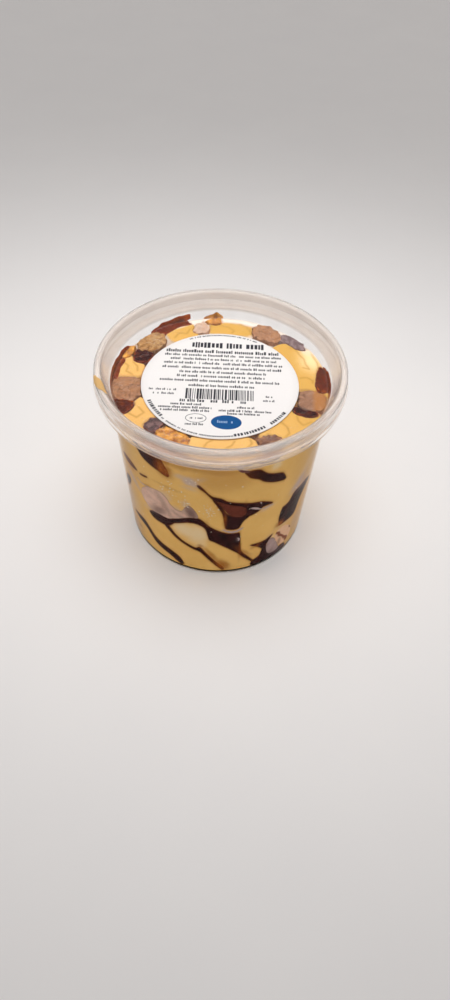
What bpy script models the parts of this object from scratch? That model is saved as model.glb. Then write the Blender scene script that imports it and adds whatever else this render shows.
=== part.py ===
"""A clear plastic tub of caramel gelato rippled with chocolate sauce, shut with a press-on lid.

The tub stands on the table with its axis on +Z and its base at z = 0. Its front faces -Y. The tub is full,
so the gelato, the sauce and the chunks are pressed flat against the wall and the lid. Each ripple of sauce
and each chunk is cut into the gelato and runs some way in from the surface where it shows.

Lengths are in millimetres and are turned into metres where a mesh is made. A place on the wall is an angle
in degrees, counted from the front to the right, and a height. A place under the lid is x and y.
"""
import math

import bmesh
import bpy
from mathutils import Vector

MM = 0.001
SEGMENTS = 48                # facets round every turned piece
GAP = 0.3                    # clearance between pieces that touch
CORNER_STEPS = 3             # facets in a rounded corner
BEAD_STEPS = 6               # facets over the lid's bead
WELD = 0.001                 # points closer than this are one point
SHARP_EDGE = 35              # degrees; a turned piece is smooth across anything blunter

# Tub
FOOT_RADIUS = 47.4           # outer wall carried down to the table
WALL_RADIUS = 53.3           # outer wall just under the flange
FLANGE_HEIGHT = 94.2         # where the wall meets the flange
TUB_WALL = 0.8
FOOT_CORNER = 3.5            # rounded corner between base and wall
FOOT_RING = (41.8, 43.9)     # flat ring that the tub stands on
PANEL_LIFT = 1.2             # the base panel stays this far off the table
FLANGE_RADIUS = 59.4
FLANGE_LIP = 0.9             # the flange's edge turns down by this much
FLANGE_THICKNESS = 0.9
RIM_HEIGHT = 103.4           # centre of the rolled rim
RIM_RADIUS = 57.5
RIM_ROLL = 0.95              # radius of the rolled rim
RIM_HOOK = 1.6               # the roll's underside is this far under its centre

# Lid
LID_WALL = 0.6
LID_FLOOR = 92.0             # underside of the recessed floor
LID_FLOOR_RADIUS = 50.0      # flat part of the floor
LID_FILLET = 1.6             # between floor and plug wall, inside the recess
BEAD_RADIUS = 1.9            # outside of the bead that grips the rim
SKIRT_RADIUS = 59.4          # outside of the skirt at its foot
LIP_HEIGHT = 99.0            # middle of the lip round the skirt's foot
LIP_RADIUS = 60.0
LIP_HALF = 0.35

# Label
LABEL_RADIUS = 37.7
LABEL_PLACE = (-0.3, -1.2)     # the label is stuck on a little off centre
LABEL_THICKNESS = 0.2

# Gelato and what is folded into it
FILL_TOP = LID_FLOOR - GAP   # where the gelato is pressed flat by the lid
VALLEY_DEPTH = 3.0           # hollows between the flattened folds
VALLEY_WIDTH = 3.5
TOP_RINGS = (50.8, 48.6, 46.2, 43.8, 41.4, 39.0, 36.0)
LABEL_COVER = 36.5           # inside this radius the top is one flat face
RIPPLE_DEPTH = 8.0           # how far a ripple runs in from the wall
RIPPLE_DROP = 2.0            # and how far it sinks on the way
RIPPLE_PINCH = 0.6           # its height at the inner edge, as a share of that at the wall
RIPPLE_STEP = 6.0            # degrees between its stations
ARM_SHORTFALL = 0.5          # the second arm of a ripple ends this much nearer the wall
CHUNK_DEPTH = 7.0
CARAMEL_DEPTH = 5.0
TOP_SAUCE_DEPTH = 4.0
PIECE_SHOULDER = 1.2         # rounded upper edge of a piece under the lid
PIECE_TOP = 0.9              # size of its flat top, as a share of its outline
PIECE_FOOT = 0.72            # size of its underside, as a share of its outline
CUTTER_PROUD = 2.5           # cutters stand out of the gelato by this much
FOLD_EDGE = 50               # degrees; the gelato is smooth across anything blunter

# Materials: linear RGB, roughness and transmission
MATERIALS = {
    "clear_plastic": ((0.9, 0.9, 0.9), 0.05, 1.0),
    "label_paper": ((0.95, 0.93, 0.92), 0.6, 0.0),
    "gelato": ((0.6, 0.38, 0.14), 0.5, 0.0),
    "brownie": ((0.13, 0.05, 0.03), 0.7, 0.0),
    "nut": ((0.45, 0.25, 0.14), 0.5, 0.0),
    "caramel": ((0.7, 0.3, 0.04), 0.3, 0.0),
    "chocolate_sauce": ((0.03, 0.006, 0.005), 0.25, 0.0),
}

# Flattened folds under the lid: centre x, y, half width, half depth and turn in degrees
FOLDS = [
    (-20.0, 38.5, 8.0, 6.5, 20.0),
    (4.0, 43.5, 12.0, 6.5, 0.0),
    (38.5, 18.0, 9.5, 15.0, 22.0),
    (40.0, 0.5, 5.0, 4.0, 0.0),
    (32.5, -30.0, 16.0, 8.5, 42.0),
    (3.0, -43.5, 16.0, 7.0, 0.0),
    (-37.0, -23.0, 8.5, 13.0, 38.0),
    (-45.0, 9.0, 7.0, 8.0, 0.0),
]

# Ripples of sauce in the wall: (angle, low, high) from left to right. A node is the union of its strips.
WALL_SAUCE = {
    "sauce_upper_left": [
        [(-50, 87, 88.2), (-47, 85.4, 88.4), (-44, 82.4, 88.4), (-41, 79, 88.3), (-37, 77.6, 88.4),
         (-33, 76.8, 88.5), (-30, 76, 88.4), (-28, 75.4, 84.5), (-26, 75, 81), (-24.5, 75.3, 78.4)],
    ],
    "sauce_left_line": [
        [(-64, 64.6, 66.4), (-58, 63.5, 66.8), (-53, 63.3, 66.6), (-47, 63.6, 65.2), (-40, 65, 66)],
    ],
    "sauce_left_patch": [
        [(-68, 39, 44), (-65, 40, 48), (-62, 43, 50), (-59.5, 46.5, 50)],
    ],
    "sauce_middle": [
        [(-42, 36, 37.6), (-39, 34.8, 40), (-34, 34.2, 41), (-28, 35.2, 41.4), (-24, 39.4, 43.4),
         (-18, 42.6, 47), (-14, 44.4, 48.6), (-10, 44.8, 49.2), (-8, 43.6, 48.4), (-5, 41, 45.4),
         (-3.4, 31.2, 43.4), (0, 29.8, 41), (4, 27.6, 39), (8, 24.6, 37.6), (12, 20.8, 37.2),
         (14.4, 18.6, 37.4), (15.6, 17.6, 24), (18, 14.4, 18.4), (22, 9.6, 13.6)],
        [(-32, 33, 36.2), (-28, 29.6, 35.6), (-24, 26.3, 31), (-20, 24, 28), (-16, 22, 25.6),
         (-12, 20.2, 23.8), (-10, 19.2, 25), (-8, 17.5, 23.4), (-5, 14, 20.6), (-2, 11, 17),
         (2, 6.6, 12.4), (5, 4.6, 9), (7.5, 4.6, 6.4)],
    ],
    "sauce_low_left": [
        [(-62, 20.5, 22.2), (-56, 20, 23.6), (-51, 19.8, 24.4), (-47, 18.4, 23), (-44, 15.6, 20.6),
         (-41, 12.8, 17), (-36, 10.4, 14.4), (-31, 9.2, 13.6), (-27, 7.2, 12), (-24, 5.6, 10.6),
         (-21, 4.8, 8.4)],
    ],
    "sauce_round_lens": [
        [(-9.5, 73, 75.6), (-7, 71.2, 74.2), (-4, 68.6, 70.8), (-1, 65.4, 68), (3, 64, 66.6),
         (9, 61.2, 63.8), (14, 59.8, 62.2), (16.8, 58.6, 61.4), (17.4, 49.2, 61.2), (21, 49.6, 60.4),
         (26, 51.2, 59.6), (27.6, 54.2, 59.2), (31, 54, 57.6), (33.5, 53.8, 55.4)],
        [(0, 63, 66), (3, 56.4, 61.2), (5, 52.6, 56.8), (7, 41.4, 53), (10, 40.8, 50.6),
         (14, 41, 50.4), (16, 42.4, 50.6), (18, 46.4, 52)],
    ],
    "sauce_upper_right": [
        [(15, 83, 85), (17, 80.2, 85.2), (20, 78.8, 85), (23, 77.4, 84), (26, 74.6, 81),
         (30, 72.2, 78.2), (34, 70.6, 77), (36.5, 69.9, 75.8), (39.3, 69.5, 71)],
    ],
    "sauce_right": [
        [(41, 30, 43.6), (44, 30, 45.8), (47, 30, 47.4), (49, 30, 51.8), (53, 30.2, 52.6),
         (56, 32, 52.4), (58, 39.6, 52.2), (62, 45, 51.8), (66, 49.4, 51)],
    ],
    "sauce_low_right": [
        [(22.5, 22.4, 23.6), (26, 20.6, 23.2), (29, 17.8, 22.8), (32, 13, 22.8), (34, 18.6, 23.4),
         (36.5, 23.2, 24.8)],
        [(24.4, 4.6, 8.2), (27, 4.6, 9.2), (30, 4.6, 10.4), (31, 4.8, 17), (33.4, 5, 19.6), (35, 8.4, 14)],
    ],
    "sauce_back_right": [
        [(78, 72, 74), (86, 68, 72.4), (95, 63.5, 70), (104, 60, 67), (114, 58.5, 63), (124, 59, 62.4),
         (134, 61.5, 64)],
    ],
    "sauce_back_low": [
        [(96, 20, 22), (106, 21, 27), (116, 24, 33), (126, 29, 37), (138, 31.5, 38.5), (150, 30, 36),
         (160, 26, 31), (170, 23.4, 26)],
    ],
    "sauce_back_upper": [
        [(158, 84, 86.4), (166, 79, 87), (174, 75, 84.6), (183, 71, 79.4), (192, 68.6, 73.6),
         (200, 67.6, 70)],
    ],
    "sauce_back_middle": [
        [(172, 47, 49.4), (180, 45, 52), (188, 44, 53.4), (197, 46, 54), (206, 51, 56.6), (214, 55, 58)],
    ],
    "sauce_back_left": [
        [(210, 33, 35), (220, 28.6, 35), (230, 23, 32), (240, 18, 26.6), (250, 14.6, 20.6),
         (260, 12.4, 16)],
    ],
    "sauce_side_left": [
        [(236, 80, 82.4), (244, 75.6, 82), (252, 72, 79.6), (260, 71, 75.8), (270, 72, 74.4)],
    ],
}

# Chunks in the wall, given in the same way
WALL_BROWNIES = {
    "brownie_lens": [
        (1.6, 62.8, 64), (4, 59, 62.6), (7, 53.6, 61.2), (10, 51.4, 60.2), (13, 51.2, 59.2),
        (15.4, 51.4, 57.8), (16.4, 53, 56)],
    "brownie_frosted": [
        (-47, 48, 52), (-43, 44.4, 56), (-38, 43, 58.8), (-33, 42.8, 60), (-28, 44.4, 57.6),
        (-24, 46.6, 51.4), (-19, 49.4, 52), (-14, 50.8, 57.6), (-11, 51.2, 55)],
    "brownie_low_right": [(36.6, 8.6, 17), (39, 7.4, 16.4), (41.6, 6.6, 13)],
    "brownie_back_upper": [(116, 76, 82), (121, 73, 85), (128, 73.6, 85.6), (134, 77, 84)],
    "brownie_back_low": [(184, 14, 20), (190, 11, 25.6), (197, 12, 27), (203, 17, 25)],
    "brownie_side_left": [(262, 42, 48), (268, 38.6, 53), (275, 39.4, 54), (281, 44, 51)],
}
WALL_NUTS = {
    "nut_low_right": [(42.6, 15, 25.6), (45, 11, 26), (48, 9.8, 24), (51.6, 10.6, 16)],
    "nut_back": [(146, 52, 58), (152, 49.6, 60), (158, 52, 58.4)],
}

# Pieces under the lid: outline in x and y
TOP_BROWNIES = {
    "brownie_top_1": [(-41, 22), (-41, 29.5), (-36.5, 34.5), (-31, 33), (-30, 27), (-34, 21.5)],
    "brownie_top_2": [(-14.5, 38.6), (-14, 44), (-10.5, 46), (-8, 43), (-8, 38.8)],
    "brownie_top_3": [(16, 37), (15.5, 43.5), (20, 46), (25.5, 43.5), (28.6, 38), (27.5, 33.5), (22, 34.5)],
    "brownie_top_4": [(37.5, -4.5), (43, -3), (48.5, -6.5), (48.4, -13), (44, -16.2), (37.6, -13)],
    "brownie_top_5": [(18.5, -36.5), (19.5, -40.5), (26, -39.6), (29.5, -36), (25, -34.4)],
    "brownie_top_6": [(-39, 0), (-45, 1.6), (-50.4, -1.5), (-50, -8), (-47.4, -13.8), (-41, -14),
                      (-38, -8)],
}
TOP_CARAMEL = {
    "caramel_top_1": [(-9, 48), (-7, 50.2), (-2, 50.6), (-1.5, 46.8), (-5, 44.8)],
    "caramel_top_2": [(-48.4, 17.5), (-46.8, 21.4), (-44, 24.6), (-43, 21.6), (-45.5, 16.8)],
    "caramel_top_3": [(-27, -34), (-25.6, -38), (-19, -40.5), (-13.5, -39.5), (-15, -35.8), (-20, -33)],
}
TOP_SAUCE = {
    "sauce_top_1": [(-34, 37.4), (-28, 42.2), (-20, 46.6), (-17.6, 44.8), (-23, 41.2), (-30.5, 36)],
    "sauce_top_2": [(30, 37.6), (33.6, 37.2), (40.2, 30.2), (39.4, 27.4), (33, 32), (29.6, 34.4)],
    "sauce_top_3": [(46, 10), (48.8, 12.6), (50.6, 6), (50.8, -1), (47.4, -2.5), (45.6, 1)],
    "sauce_top_4": [(35.6, -15.6), (41, -18), (45.4, -18.4), (43.2, -21), (38, -21), (34.8, -18.4)],
    "sauce_top_5": [(-41, -17), (-46, -16.4), (-46.6, -20), (-43, -24.6), (-40, -21.6)],
    "sauce_top_6": [(-50.4, 3.6), (-50, 9), (-48.2, 13.6), (-46.6, 12.6), (-48.2, 7.4), (-48.8, 3.8)],
    "sauce_top_7": [(-41.4, 18.4), (-38, 18.8), (-35.6, 15.5), (-38, 12.8), (-42.4, 14.4)],
    "sauce_top_8": [(-32, -27.5), (-33.4, -31.6), (-30, -34.6), (-28.6, -31.6), (-26.5, -28.2)],
}


def tub_outer(height):
    """Outer radius of the tub's wall."""
    return FOOT_RADIUS + (WALL_RADIUS - FOOT_RADIUS) * height / FLANGE_HEIGHT


def fill_radius(height):
    """Radius of the gelato, just inside the tub's wall."""
    return tub_outer(height) - TUB_WALL - GAP


def arc(centre, radius, start, end, steps):
    """Points of an arc in the radius and height plane; angles in degrees, 0 outwards and 90 up."""
    points = []
    for i in range(steps + 1):
        angle = math.radians(start + (end - start) * i / steps)
        points.append((centre[0] + radius * math.cos(angle), centre[1] + radius * math.sin(angle)))
    return points


def new_object(name, bm):
    """Puts a finished bmesh in the scene, in metres."""
    bmesh.ops.scale(bm, vec=(MM, MM, MM), verts=bm.verts)
    bmesh.ops.recalc_face_normals(bm, faces=bm.faces)
    mesh = bpy.data.meshes.new(name)
    bm.to_mesh(mesh)
    bm.free()
    obj = bpy.data.objects.new(name, mesh)
    bpy.context.scene.collection.objects.link(obj)
    return obj


def smooth(obj, angle=SHARP_EDGE):
    """Smooth shading with edges sharper than the angle kept."""
    obj.data.shade_smooth()
    obj.data.set_sharp_from_angle(angle=math.radians(angle))


def turned(profile):
    """A bmesh turned about Z from an outline of (radius, height) that starts and ends on the axis."""
    bm = bmesh.new()
    verts = [bm.verts.new((radius, 0, height)) for radius, height in profile]
    edges = [bm.edges.new(pair) for pair in zip(verts, verts[1:])]
    bmesh.ops.spin(bm, geom=verts + edges, cent=(0, 0, 0), axis=(0, 0, 1), angle=math.tau, steps=SEGMENTS)
    bmesh.ops.remove_doubles(bm, verts=bm.verts, dist=WELD)
    return bm


def material(name):
    """A Principled material from the table."""
    colour, roughness, transmission = MATERIALS[name]
    mat = bpy.data.materials.new(name)
    mat.use_nodes = True
    shader = mat.node_tree.nodes["Principled BSDF"]
    shader.inputs["Base Color"].default_value = (*colour, 1)
    shader.inputs["Roughness"].default_value = roughness
    shader.inputs["Metallic"].default_value = 0
    shader.inputs["Transmission Weight"].default_value = transmission
    return mat


def offset_outline(points, distance):
    """Moves a closed outline outwards by a distance, square to its sides."""
    area = sum(a[0] * b[1] - b[0] * a[1] for a, b in zip(points, points[1:] + points[:1]))
    side = 1 if area > 0 else -1
    moved = []
    for i, point in enumerate(points):
        before = Vector(point) - Vector(points[i - 1])
        after = Vector(points[(i + 1) % len(points)]) - Vector(point)
        normal_before = Vector((before.y, -before.x)).normalized() * side
        normal_after = Vector((after.y, -after.x)).normalized() * side
        mitre = normal_before + normal_after
        stretch = 2 / max(mitre.length_squared, 1.0)
        moved.append(Vector(point) + mitre * stretch * distance)
    return moved


def split_face(bm, a, b, c, d):
    """A four-sided face as two triangles, split the same way on a piece and on its cutter."""
    bm.faces.new((a, b, c))
    bm.faces.new((a, c, d))


def stations(columns):
    """Adds columns between those given, so that a ripple follows the curve of the wall."""
    result = [columns[0]]
    for left, right in zip(columns, columns[1:]):
        steps = max(1, math.ceil((right[0] - left[0]) / RIPPLE_STEP))
        for i in range(1, steps + 1):
            share = i / steps
            result.append(tuple(a + (b - a) * share for a, b in zip(left, right)))
    return result


def on_wall(angle, height, inset):
    """The point at an angle and a height, a distance in from the gelato's surface."""
    radius = fill_radius(height) - inset
    turn = math.radians(angle)
    return Vector((radius * math.sin(turn), -radius * math.cos(turn), height))


def wall_strip(name, columns, depth, cutter=False):
    """A closed strip in the wall, or the slightly larger shape that makes room for it."""
    columns = stations(columns)
    degree = math.radians(1) * WALL_RADIUS
    outline = [(angle * degree, high) for angle, low, high in columns]
    outline += [(angle * degree, low) for angle, low, high in reversed(columns)]
    outline = offset_outline(outline, GAP if cutter else 0)
    inset = -CUTTER_PROUD if cutter else 0
    reach = depth + (GAP if cutter else 0)
    bm = bmesh.new()
    rings = []
    for high, low in zip(outline[:len(columns)], reversed(outline[len(columns):])):
        middle = (high.y + low.y) / 2
        ring = []
        for point, inwards in ((high, inset), (low, inset), (low, reach), (high, reach)):
            share = inwards / depth
            height = middle + (point.y - middle) * (1 - share * (1 - RIPPLE_PINCH)) - RIPPLE_DROP * share
            ring.append(bm.verts.new(on_wall(point.x / degree, height, inwards)))
        rings.append(ring)
    for left, right in zip(rings, rings[1:]):
        for i in range(4):
            j = (i + 1) % 4
            split_face(bm, left[i], left[j], right[j], right[i])
    split_face(bm, *rings[0])
    split_face(bm, *rings[-1])
    return new_object(name, bm)


def top_piece(name, outline, depth, cutter=False):
    """A piece pressed flat by the lid, or the slightly larger shape that makes room for it."""
    outline = offset_outline(outline, GAP if cutter else 0)
    centre = sum(outline, Vector((0, 0))) / len(outline)
    top, foot = (FILL_TOP + CUTTER_PROUD, FILL_TOP - depth - GAP) if cutter else (FILL_TOP, FILL_TOP - depth)
    levels = [(top, 1.0 if cutter else PIECE_TOP), (FILL_TOP - PIECE_SHOULDER, 1.0), (foot, PIECE_FOOT)]
    bm = bmesh.new()
    rings = []
    for height, size in levels:
        ring = [centre + (point - centre) * size for point in outline]
        rings.append([bm.verts.new((point.x, point.y, height)) for point in ring])
    for upper, lower in zip(rings, rings[1:]):
        for i in range(len(outline)):
            j = (i + 1) % len(outline)
            split_face(bm, upper[i], upper[j], lower[j], lower[i])
    bm.faces.new(rings[0])
    bm.faces.new(reversed(rings[-1]))
    return new_object(name, bm)


def as_cutter(obj, collection):
    """Turns an object into a guide that only cuts."""
    bpy.context.scene.collection.objects.unlink(obj)
    collection.objects.link(obj)
    obj.hide_render = True
    obj.display_type = "WIRE"
    return obj


def boolean(obj, operation, tool):
    """Adds a Boolean with another object."""
    cut = obj.modifiers.new(f"{operation.lower()} {tool.name}", "BOOLEAN")
    cut.operation = operation
    cut.solver = "EXACT"
    cut.object = tool


def make_tub(mat):
    """The tapered tub with its foot ring, flange and rolled rim."""
    corner = (tub_outer(FOOT_CORNER) - FOOT_CORNER, FOOT_CORNER)
    inner_corner = FOOT_CORNER - TUB_WALL
    panel_top = PANEL_LIFT + TUB_WALL
    inner_centre = (tub_outer(panel_top + inner_corner) - TUB_WALL - inner_corner, panel_top + inner_corner)
    flange_under = FLANGE_HEIGHT + FLANGE_THICKNESS
    flange_top = flange_under + FLANGE_THICKNESS
    inner_radius = WALL_RADIUS - TUB_WALL
    rim_inner = RIM_RADIUS - RIM_ROLL
    slope = (rim_inner - inner_radius) / (RIM_HEIGHT - FLANGE_HEIGHT)
    hook = RIM_HEIGHT - RIM_HOOK
    profile = [(0, PANEL_LIFT), (FOOT_RING[0] - PANEL_LIFT, PANEL_LIFT), (FOOT_RING[0], 0), (FOOT_RING[1], 0)]
    profile += arc(corner, FOOT_CORNER, -90, 0, CORNER_STEPS)
    profile += [
        (WALL_RADIUS, FLANGE_HEIGHT),
        (WALL_RADIUS + FLANGE_THICKNESS, flange_under),
        (FLANGE_RADIUS - FLANGE_THICKNESS, flange_under),
        (FLANGE_RADIUS - FLANGE_THICKNESS / 2, flange_under - FLANGE_LIP),
        (FLANGE_RADIUS, flange_under - FLANGE_LIP),
        (FLANGE_RADIUS, flange_top - FLANGE_LIP / 2),
        (FLANGE_RADIUS - FLANGE_THICKNESS / 2, flange_top),
        (WALL_RADIUS + slope * (flange_top - FLANGE_HEIGHT), flange_top),
        (WALL_RADIUS + slope * (hook - FLANGE_HEIGHT), hook),
        (RIM_RADIUS + RIM_ROLL, RIM_HEIGHT - RIM_ROLL),
    ]
    profile += arc((RIM_RADIUS, RIM_HEIGHT), RIM_ROLL, 0, 180, CORNER_STEPS)
    profile += [(inner_radius, FLANGE_HEIGHT)]
    profile += arc(inner_centre, inner_corner, 0, -90, CORNER_STEPS)
    profile += [(0, panel_top)]
    tub = new_object("tub", turned(profile))
    tub.data.materials.append(mat)
    smooth(tub)


def make_lid(mat):
    """The press-on lid: recessed floor, plug wall, bead over the rim, skirt and lip."""
    floor_top = LID_FLOOR + LID_WALL
    fillet_centre = (LID_FLOOR_RADIUS, floor_top + LID_FILLET)
    bead_centre = (RIM_RADIUS, RIM_HEIGHT)
    profile = [(0, floor_top)]
    profile += arc(fillet_centre, LID_FILLET, -90, 0, CORNER_STEPS)
    profile += arc(bead_centre, BEAD_RADIUS, 180, 0, BEAD_STEPS)
    profile += [
        (SKIRT_RADIUS, LIP_HEIGHT + 2 * LIP_HALF),
        (LIP_RADIUS - LIP_HALF, LIP_HEIGHT + LIP_HALF),
        (LIP_RADIUS, LIP_HEIGHT),
        (LIP_RADIUS - LIP_HALF, LIP_HEIGHT - LIP_HALF),
        (SKIRT_RADIUS - LID_WALL, LIP_HEIGHT - LIP_HALF),
    ]
    profile += arc(bead_centre, RIM_ROLL + GAP, 0, 180, BEAD_STEPS)
    profile += arc(fillet_centre, LID_FILLET + LID_WALL, 0, -90, CORNER_STEPS)
    profile += [(0, LID_FLOOR)]
    lid = new_object("lid", turned(profile))
    lid.data.materials.append(mat)
    smooth(lid)


def make_label(mat):
    """The round paper label on the floor of the lid's recess."""
    under = LID_FLOOR + LID_WALL + GAP
    upper = under + LABEL_THICKNESS
    profile = [(0, under), (LABEL_RADIUS, under), (LABEL_RADIUS, upper), (0, upper)]
    bm = turned(profile)
    bmesh.ops.translate(bm, vec=(*LABEL_PLACE, 0), verts=bm.verts)
    label = new_object("label", bm)
    label.data.materials.append(mat)
    smooth(label)


def valley(x, y):
    """How far the top of the gelato lies under the lid: nothing on a flattened fold, more between folds."""
    away = max(0.0, math.hypot(x, y) - LABEL_COVER)
    for centre_x, centre_y, half_x, half_y, turn in FOLDS:
        angle = math.radians(turn)
        across = (x - centre_x) * math.cos(angle) + (y - centre_y) * math.sin(angle)
        along = (y - centre_y) * math.cos(angle) - (x - centre_x) * math.sin(angle)
        share = math.hypot(across / half_x, along / half_y)
        away = min(away, max(0.0, share - 1) * min(half_x, half_y))
    share = min(1.0, away / VALLEY_WIDTH)
    return VALLEY_DEPTH * share * share * (3 - 2 * share)


def make_gelato(mat, cutters):
    """The gelato that fills the tub, flattened by the lid, with room for all that is folded in."""
    panel_top = PANEL_LIFT + TUB_WALL + GAP
    corner = FOOT_CORNER - TUB_WALL - GAP
    corner_centre = (fill_radius(panel_top + corner) - corner, panel_top + corner)
    shoulder = FILL_TOP - PIECE_SHOULDER
    profile = [(0, panel_top)]
    profile += arc(corner_centre, corner, -90, 0, CORNER_STEPS)
    profile += [(fill_radius(FILL_TOP / 2), FILL_TOP / 2), (fill_radius(shoulder), shoulder)]
    profile += [(radius, FILL_TOP) for radius in TOP_RINGS]
    profile += [(0, FILL_TOP)]
    bm = turned(profile)
    for vert in bm.verts:
        if vert.co.z > FILL_TOP - WELD:
            vert.co.z -= valley(vert.co.x, vert.co.y)
    uneven = [face for face in bm.faces if face.calc_center_median().z > shoulder - VALLEY_DEPTH]
    bmesh.ops.triangulate(bm, faces=uneven)
    gelato = new_object("gelato", bm)
    gelato.data.materials.append(mat)
    for cutter in cutters.objects:
        boolean(gelato, "DIFFERENCE", cutter)
    smooth(gelato, FOLD_EDGE)


def make_wall_sauce(mat, cutters, guides):
    """The ripples of sauce: strips joined where they meet, cut round the chunk that they enclose."""
    for name, strips in WALL_SAUCE.items():
        for i, columns in enumerate(strips):
            as_cutter(wall_strip(f"{name}_room_{i}", columns, RIPPLE_DEPTH, cutter=True), cutters)
            depth = RIPPLE_DEPTH - ARM_SHORTFALL * i
            strip = wall_strip(name if i == 0 else f"{name}_arm_{i}", columns, depth)
            if i == 0:
                sauce = strip
            else:
                boolean(sauce, "UNION", as_cutter(strip, guides))
        if name == "sauce_round_lens":
            room = wall_strip("lens_room", WALL_BROWNIES["brownie_lens"], 2 * RIPPLE_DEPTH, cutter=True)
            boolean(sauce, "DIFFERENCE", as_cutter(room, guides))
        sauce.data.materials.append(mat)


def make_pieces(outlines, maker, depth, mat, cutters):
    """A node and its cutter for each outline of one kind."""
    for name, outline in outlines.items():
        piece = maker(name, outline, depth)
        piece.data.materials.append(mat)
        as_cutter(maker(f"{name}_room", outline, depth, cutter=True), cutters)


def make_all():
    """Builds the whole tub in an empty scene."""
    for obj in list(bpy.data.objects):
        bpy.data.objects.remove(obj)
    cutters = bpy.data.collections.new("cutters")
    guides = bpy.data.collections.new("guides")
    bpy.context.scene.collection.children.link(cutters)
    bpy.context.scene.collection.children.link(guides)
    clear = material("clear_plastic")
    brownie = material("brownie")
    sauce = material("chocolate_sauce")
    make_tub(clear)
    make_lid(clear)
    make_label(material("label_paper"))
    make_wall_sauce(sauce, cutters, guides)
    make_pieces(WALL_BROWNIES, wall_strip, CHUNK_DEPTH, brownie, cutters)
    make_pieces(WALL_NUTS, wall_strip, CHUNK_DEPTH, material("nut"), cutters)
    make_pieces(TOP_BROWNIES, top_piece, CHUNK_DEPTH, brownie, cutters)
    make_pieces(TOP_CARAMEL, top_piece, CARAMEL_DEPTH, material("caramel"), cutters)
    make_pieces(TOP_SAUCE, top_piece, TOP_SAUCE_DEPTH, sauce, cutters)
    make_gelato(material("gelato"), cutters)


make_all()
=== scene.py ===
"""Looks of a clear tub of caramel gelato rippled with chocolate sauce, under a clear lid with a round label.

Lengths are in millimetres, in the frame of the solids, and are turned into metres where a mesh is made.
A place on the wall is an angle in degrees, counted from the front (-Y) to the right, and a height.
A place under the lid or on the label is x and y. Colours are linear RGB.
"""
import math
import random

import bmesh
import bpy
import numpy as np
from mathutils import Matrix, Vector, noise


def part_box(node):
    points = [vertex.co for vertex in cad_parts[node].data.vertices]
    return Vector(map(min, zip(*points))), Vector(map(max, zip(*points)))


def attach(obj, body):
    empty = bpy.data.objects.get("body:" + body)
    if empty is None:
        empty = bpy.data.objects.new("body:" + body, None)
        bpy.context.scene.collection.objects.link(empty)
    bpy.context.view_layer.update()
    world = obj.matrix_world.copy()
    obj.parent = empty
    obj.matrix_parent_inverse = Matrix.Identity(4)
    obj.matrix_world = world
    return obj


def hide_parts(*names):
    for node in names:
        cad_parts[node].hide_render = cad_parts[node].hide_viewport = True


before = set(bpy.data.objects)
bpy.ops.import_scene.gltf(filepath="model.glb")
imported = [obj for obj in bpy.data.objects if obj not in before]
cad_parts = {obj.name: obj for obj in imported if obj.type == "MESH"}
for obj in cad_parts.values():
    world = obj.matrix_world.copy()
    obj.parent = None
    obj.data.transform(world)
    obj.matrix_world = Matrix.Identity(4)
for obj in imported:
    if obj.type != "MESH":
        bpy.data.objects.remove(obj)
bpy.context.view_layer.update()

MM = 0.001

# Tub
FOOT_RADIUS = 47.4
WALL_RADIUS = 53.3
FLANGE_HEIGHT = 94.2
TUB_WALL = 0.8
FOOT_CORNER = 2.0
FOOT_RING = (41.8, 43.9)
PANEL_LIFT = 1.2
PANEL_TOP = PANEL_LIFT + TUB_WALL
FLANGE_RADIUS = 59.4
FLANGE_LIP = 0.9
FLANGE_THICKNESS = 0.9
RIM_HEIGHT = 103.4
RIM_RADIUS = 57.5
RIM_ROLL = 0.95
RIM_HOOK = 1.6
WALL_DEGREE = math.radians(WALL_RADIUS)   # millimetres of wall in one degree

# Lid
LID_WALL = 0.6
LID_FLOOR = 92.0
LID_FLOOR_RADIUS = 50.0
LID_FILLET = 1.6
BEAD_RADIUS = 1.9
SKIRT_RADIUS = 59.4
LIP_HEIGHT = 99.0
LIP_RADIUS = 60.0
LIP_HALF = 0.35
GAP = 0.3
HAZE_HEIGHT = 96.2           # above this the plastic is stretched thin and milky

# Fineness of the meshes
TURNED_SEGMENTS = 192
FOOD_SEGMENTS = 512
FOOD_ROW = 0.7
TOP_ROW = 0.6
ARC_STEPS = 10
STATION = 0.4                # degrees between the stations of a ripple

# Food
CONTACT = 0.15               # the gelato reaches this far into the plastic, so that no air shows
SAUCE_PROUD = 0.24
CHUNK_PROUD = 0.3
FROST_PROUD = 0.4
RIPPLE_DEPTH = 8.0
RIPPLE_DROP = 2.0
RIPPLE_PINCH = 0.6
CHUNK_DEPTH = 7.0
CARAMEL_DEPTH = 5.0
TOP_SAUCE_DEPTH = 4.0
VALLEY_DEPTH = 3.0
VALLEY_WIDTH = 2.4
CREASE_WIDTH = 0.5
POCKET_DEPTH = 2.4           # hollow in the gelato that a piece under the lid sits in
POCKET_EDGE = 1.2
SMEAR_DEPTH = 0.3
SMEAR_PROUD = 0.24
SMEAR_TOP = 95.9
SMEAR_RAGGED = (0.4, 0.2)    # raggedness of the lower and the upper edge, as a share of the smear's thickness
LUMP_TOP = LID_FLOOR + CONTACT + 0.1
SHOULDER = 1.6               # rounding of the gelato under the lid's edge
FLAT_RADIUS = 34.0
LABEL_COVER = 36.5           # inside this radius the top of the gelato is one flat face
TOP_ROUGHNESS = 0.22
HALO = 0.75                  # amber stain of the gelato at the edge of a ripple, and its reach in mm
HALO_REACH = 0.55
FOLD_POWER = 2.6             # 2 would make the folds ellipses, and more makes them squarer

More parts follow.
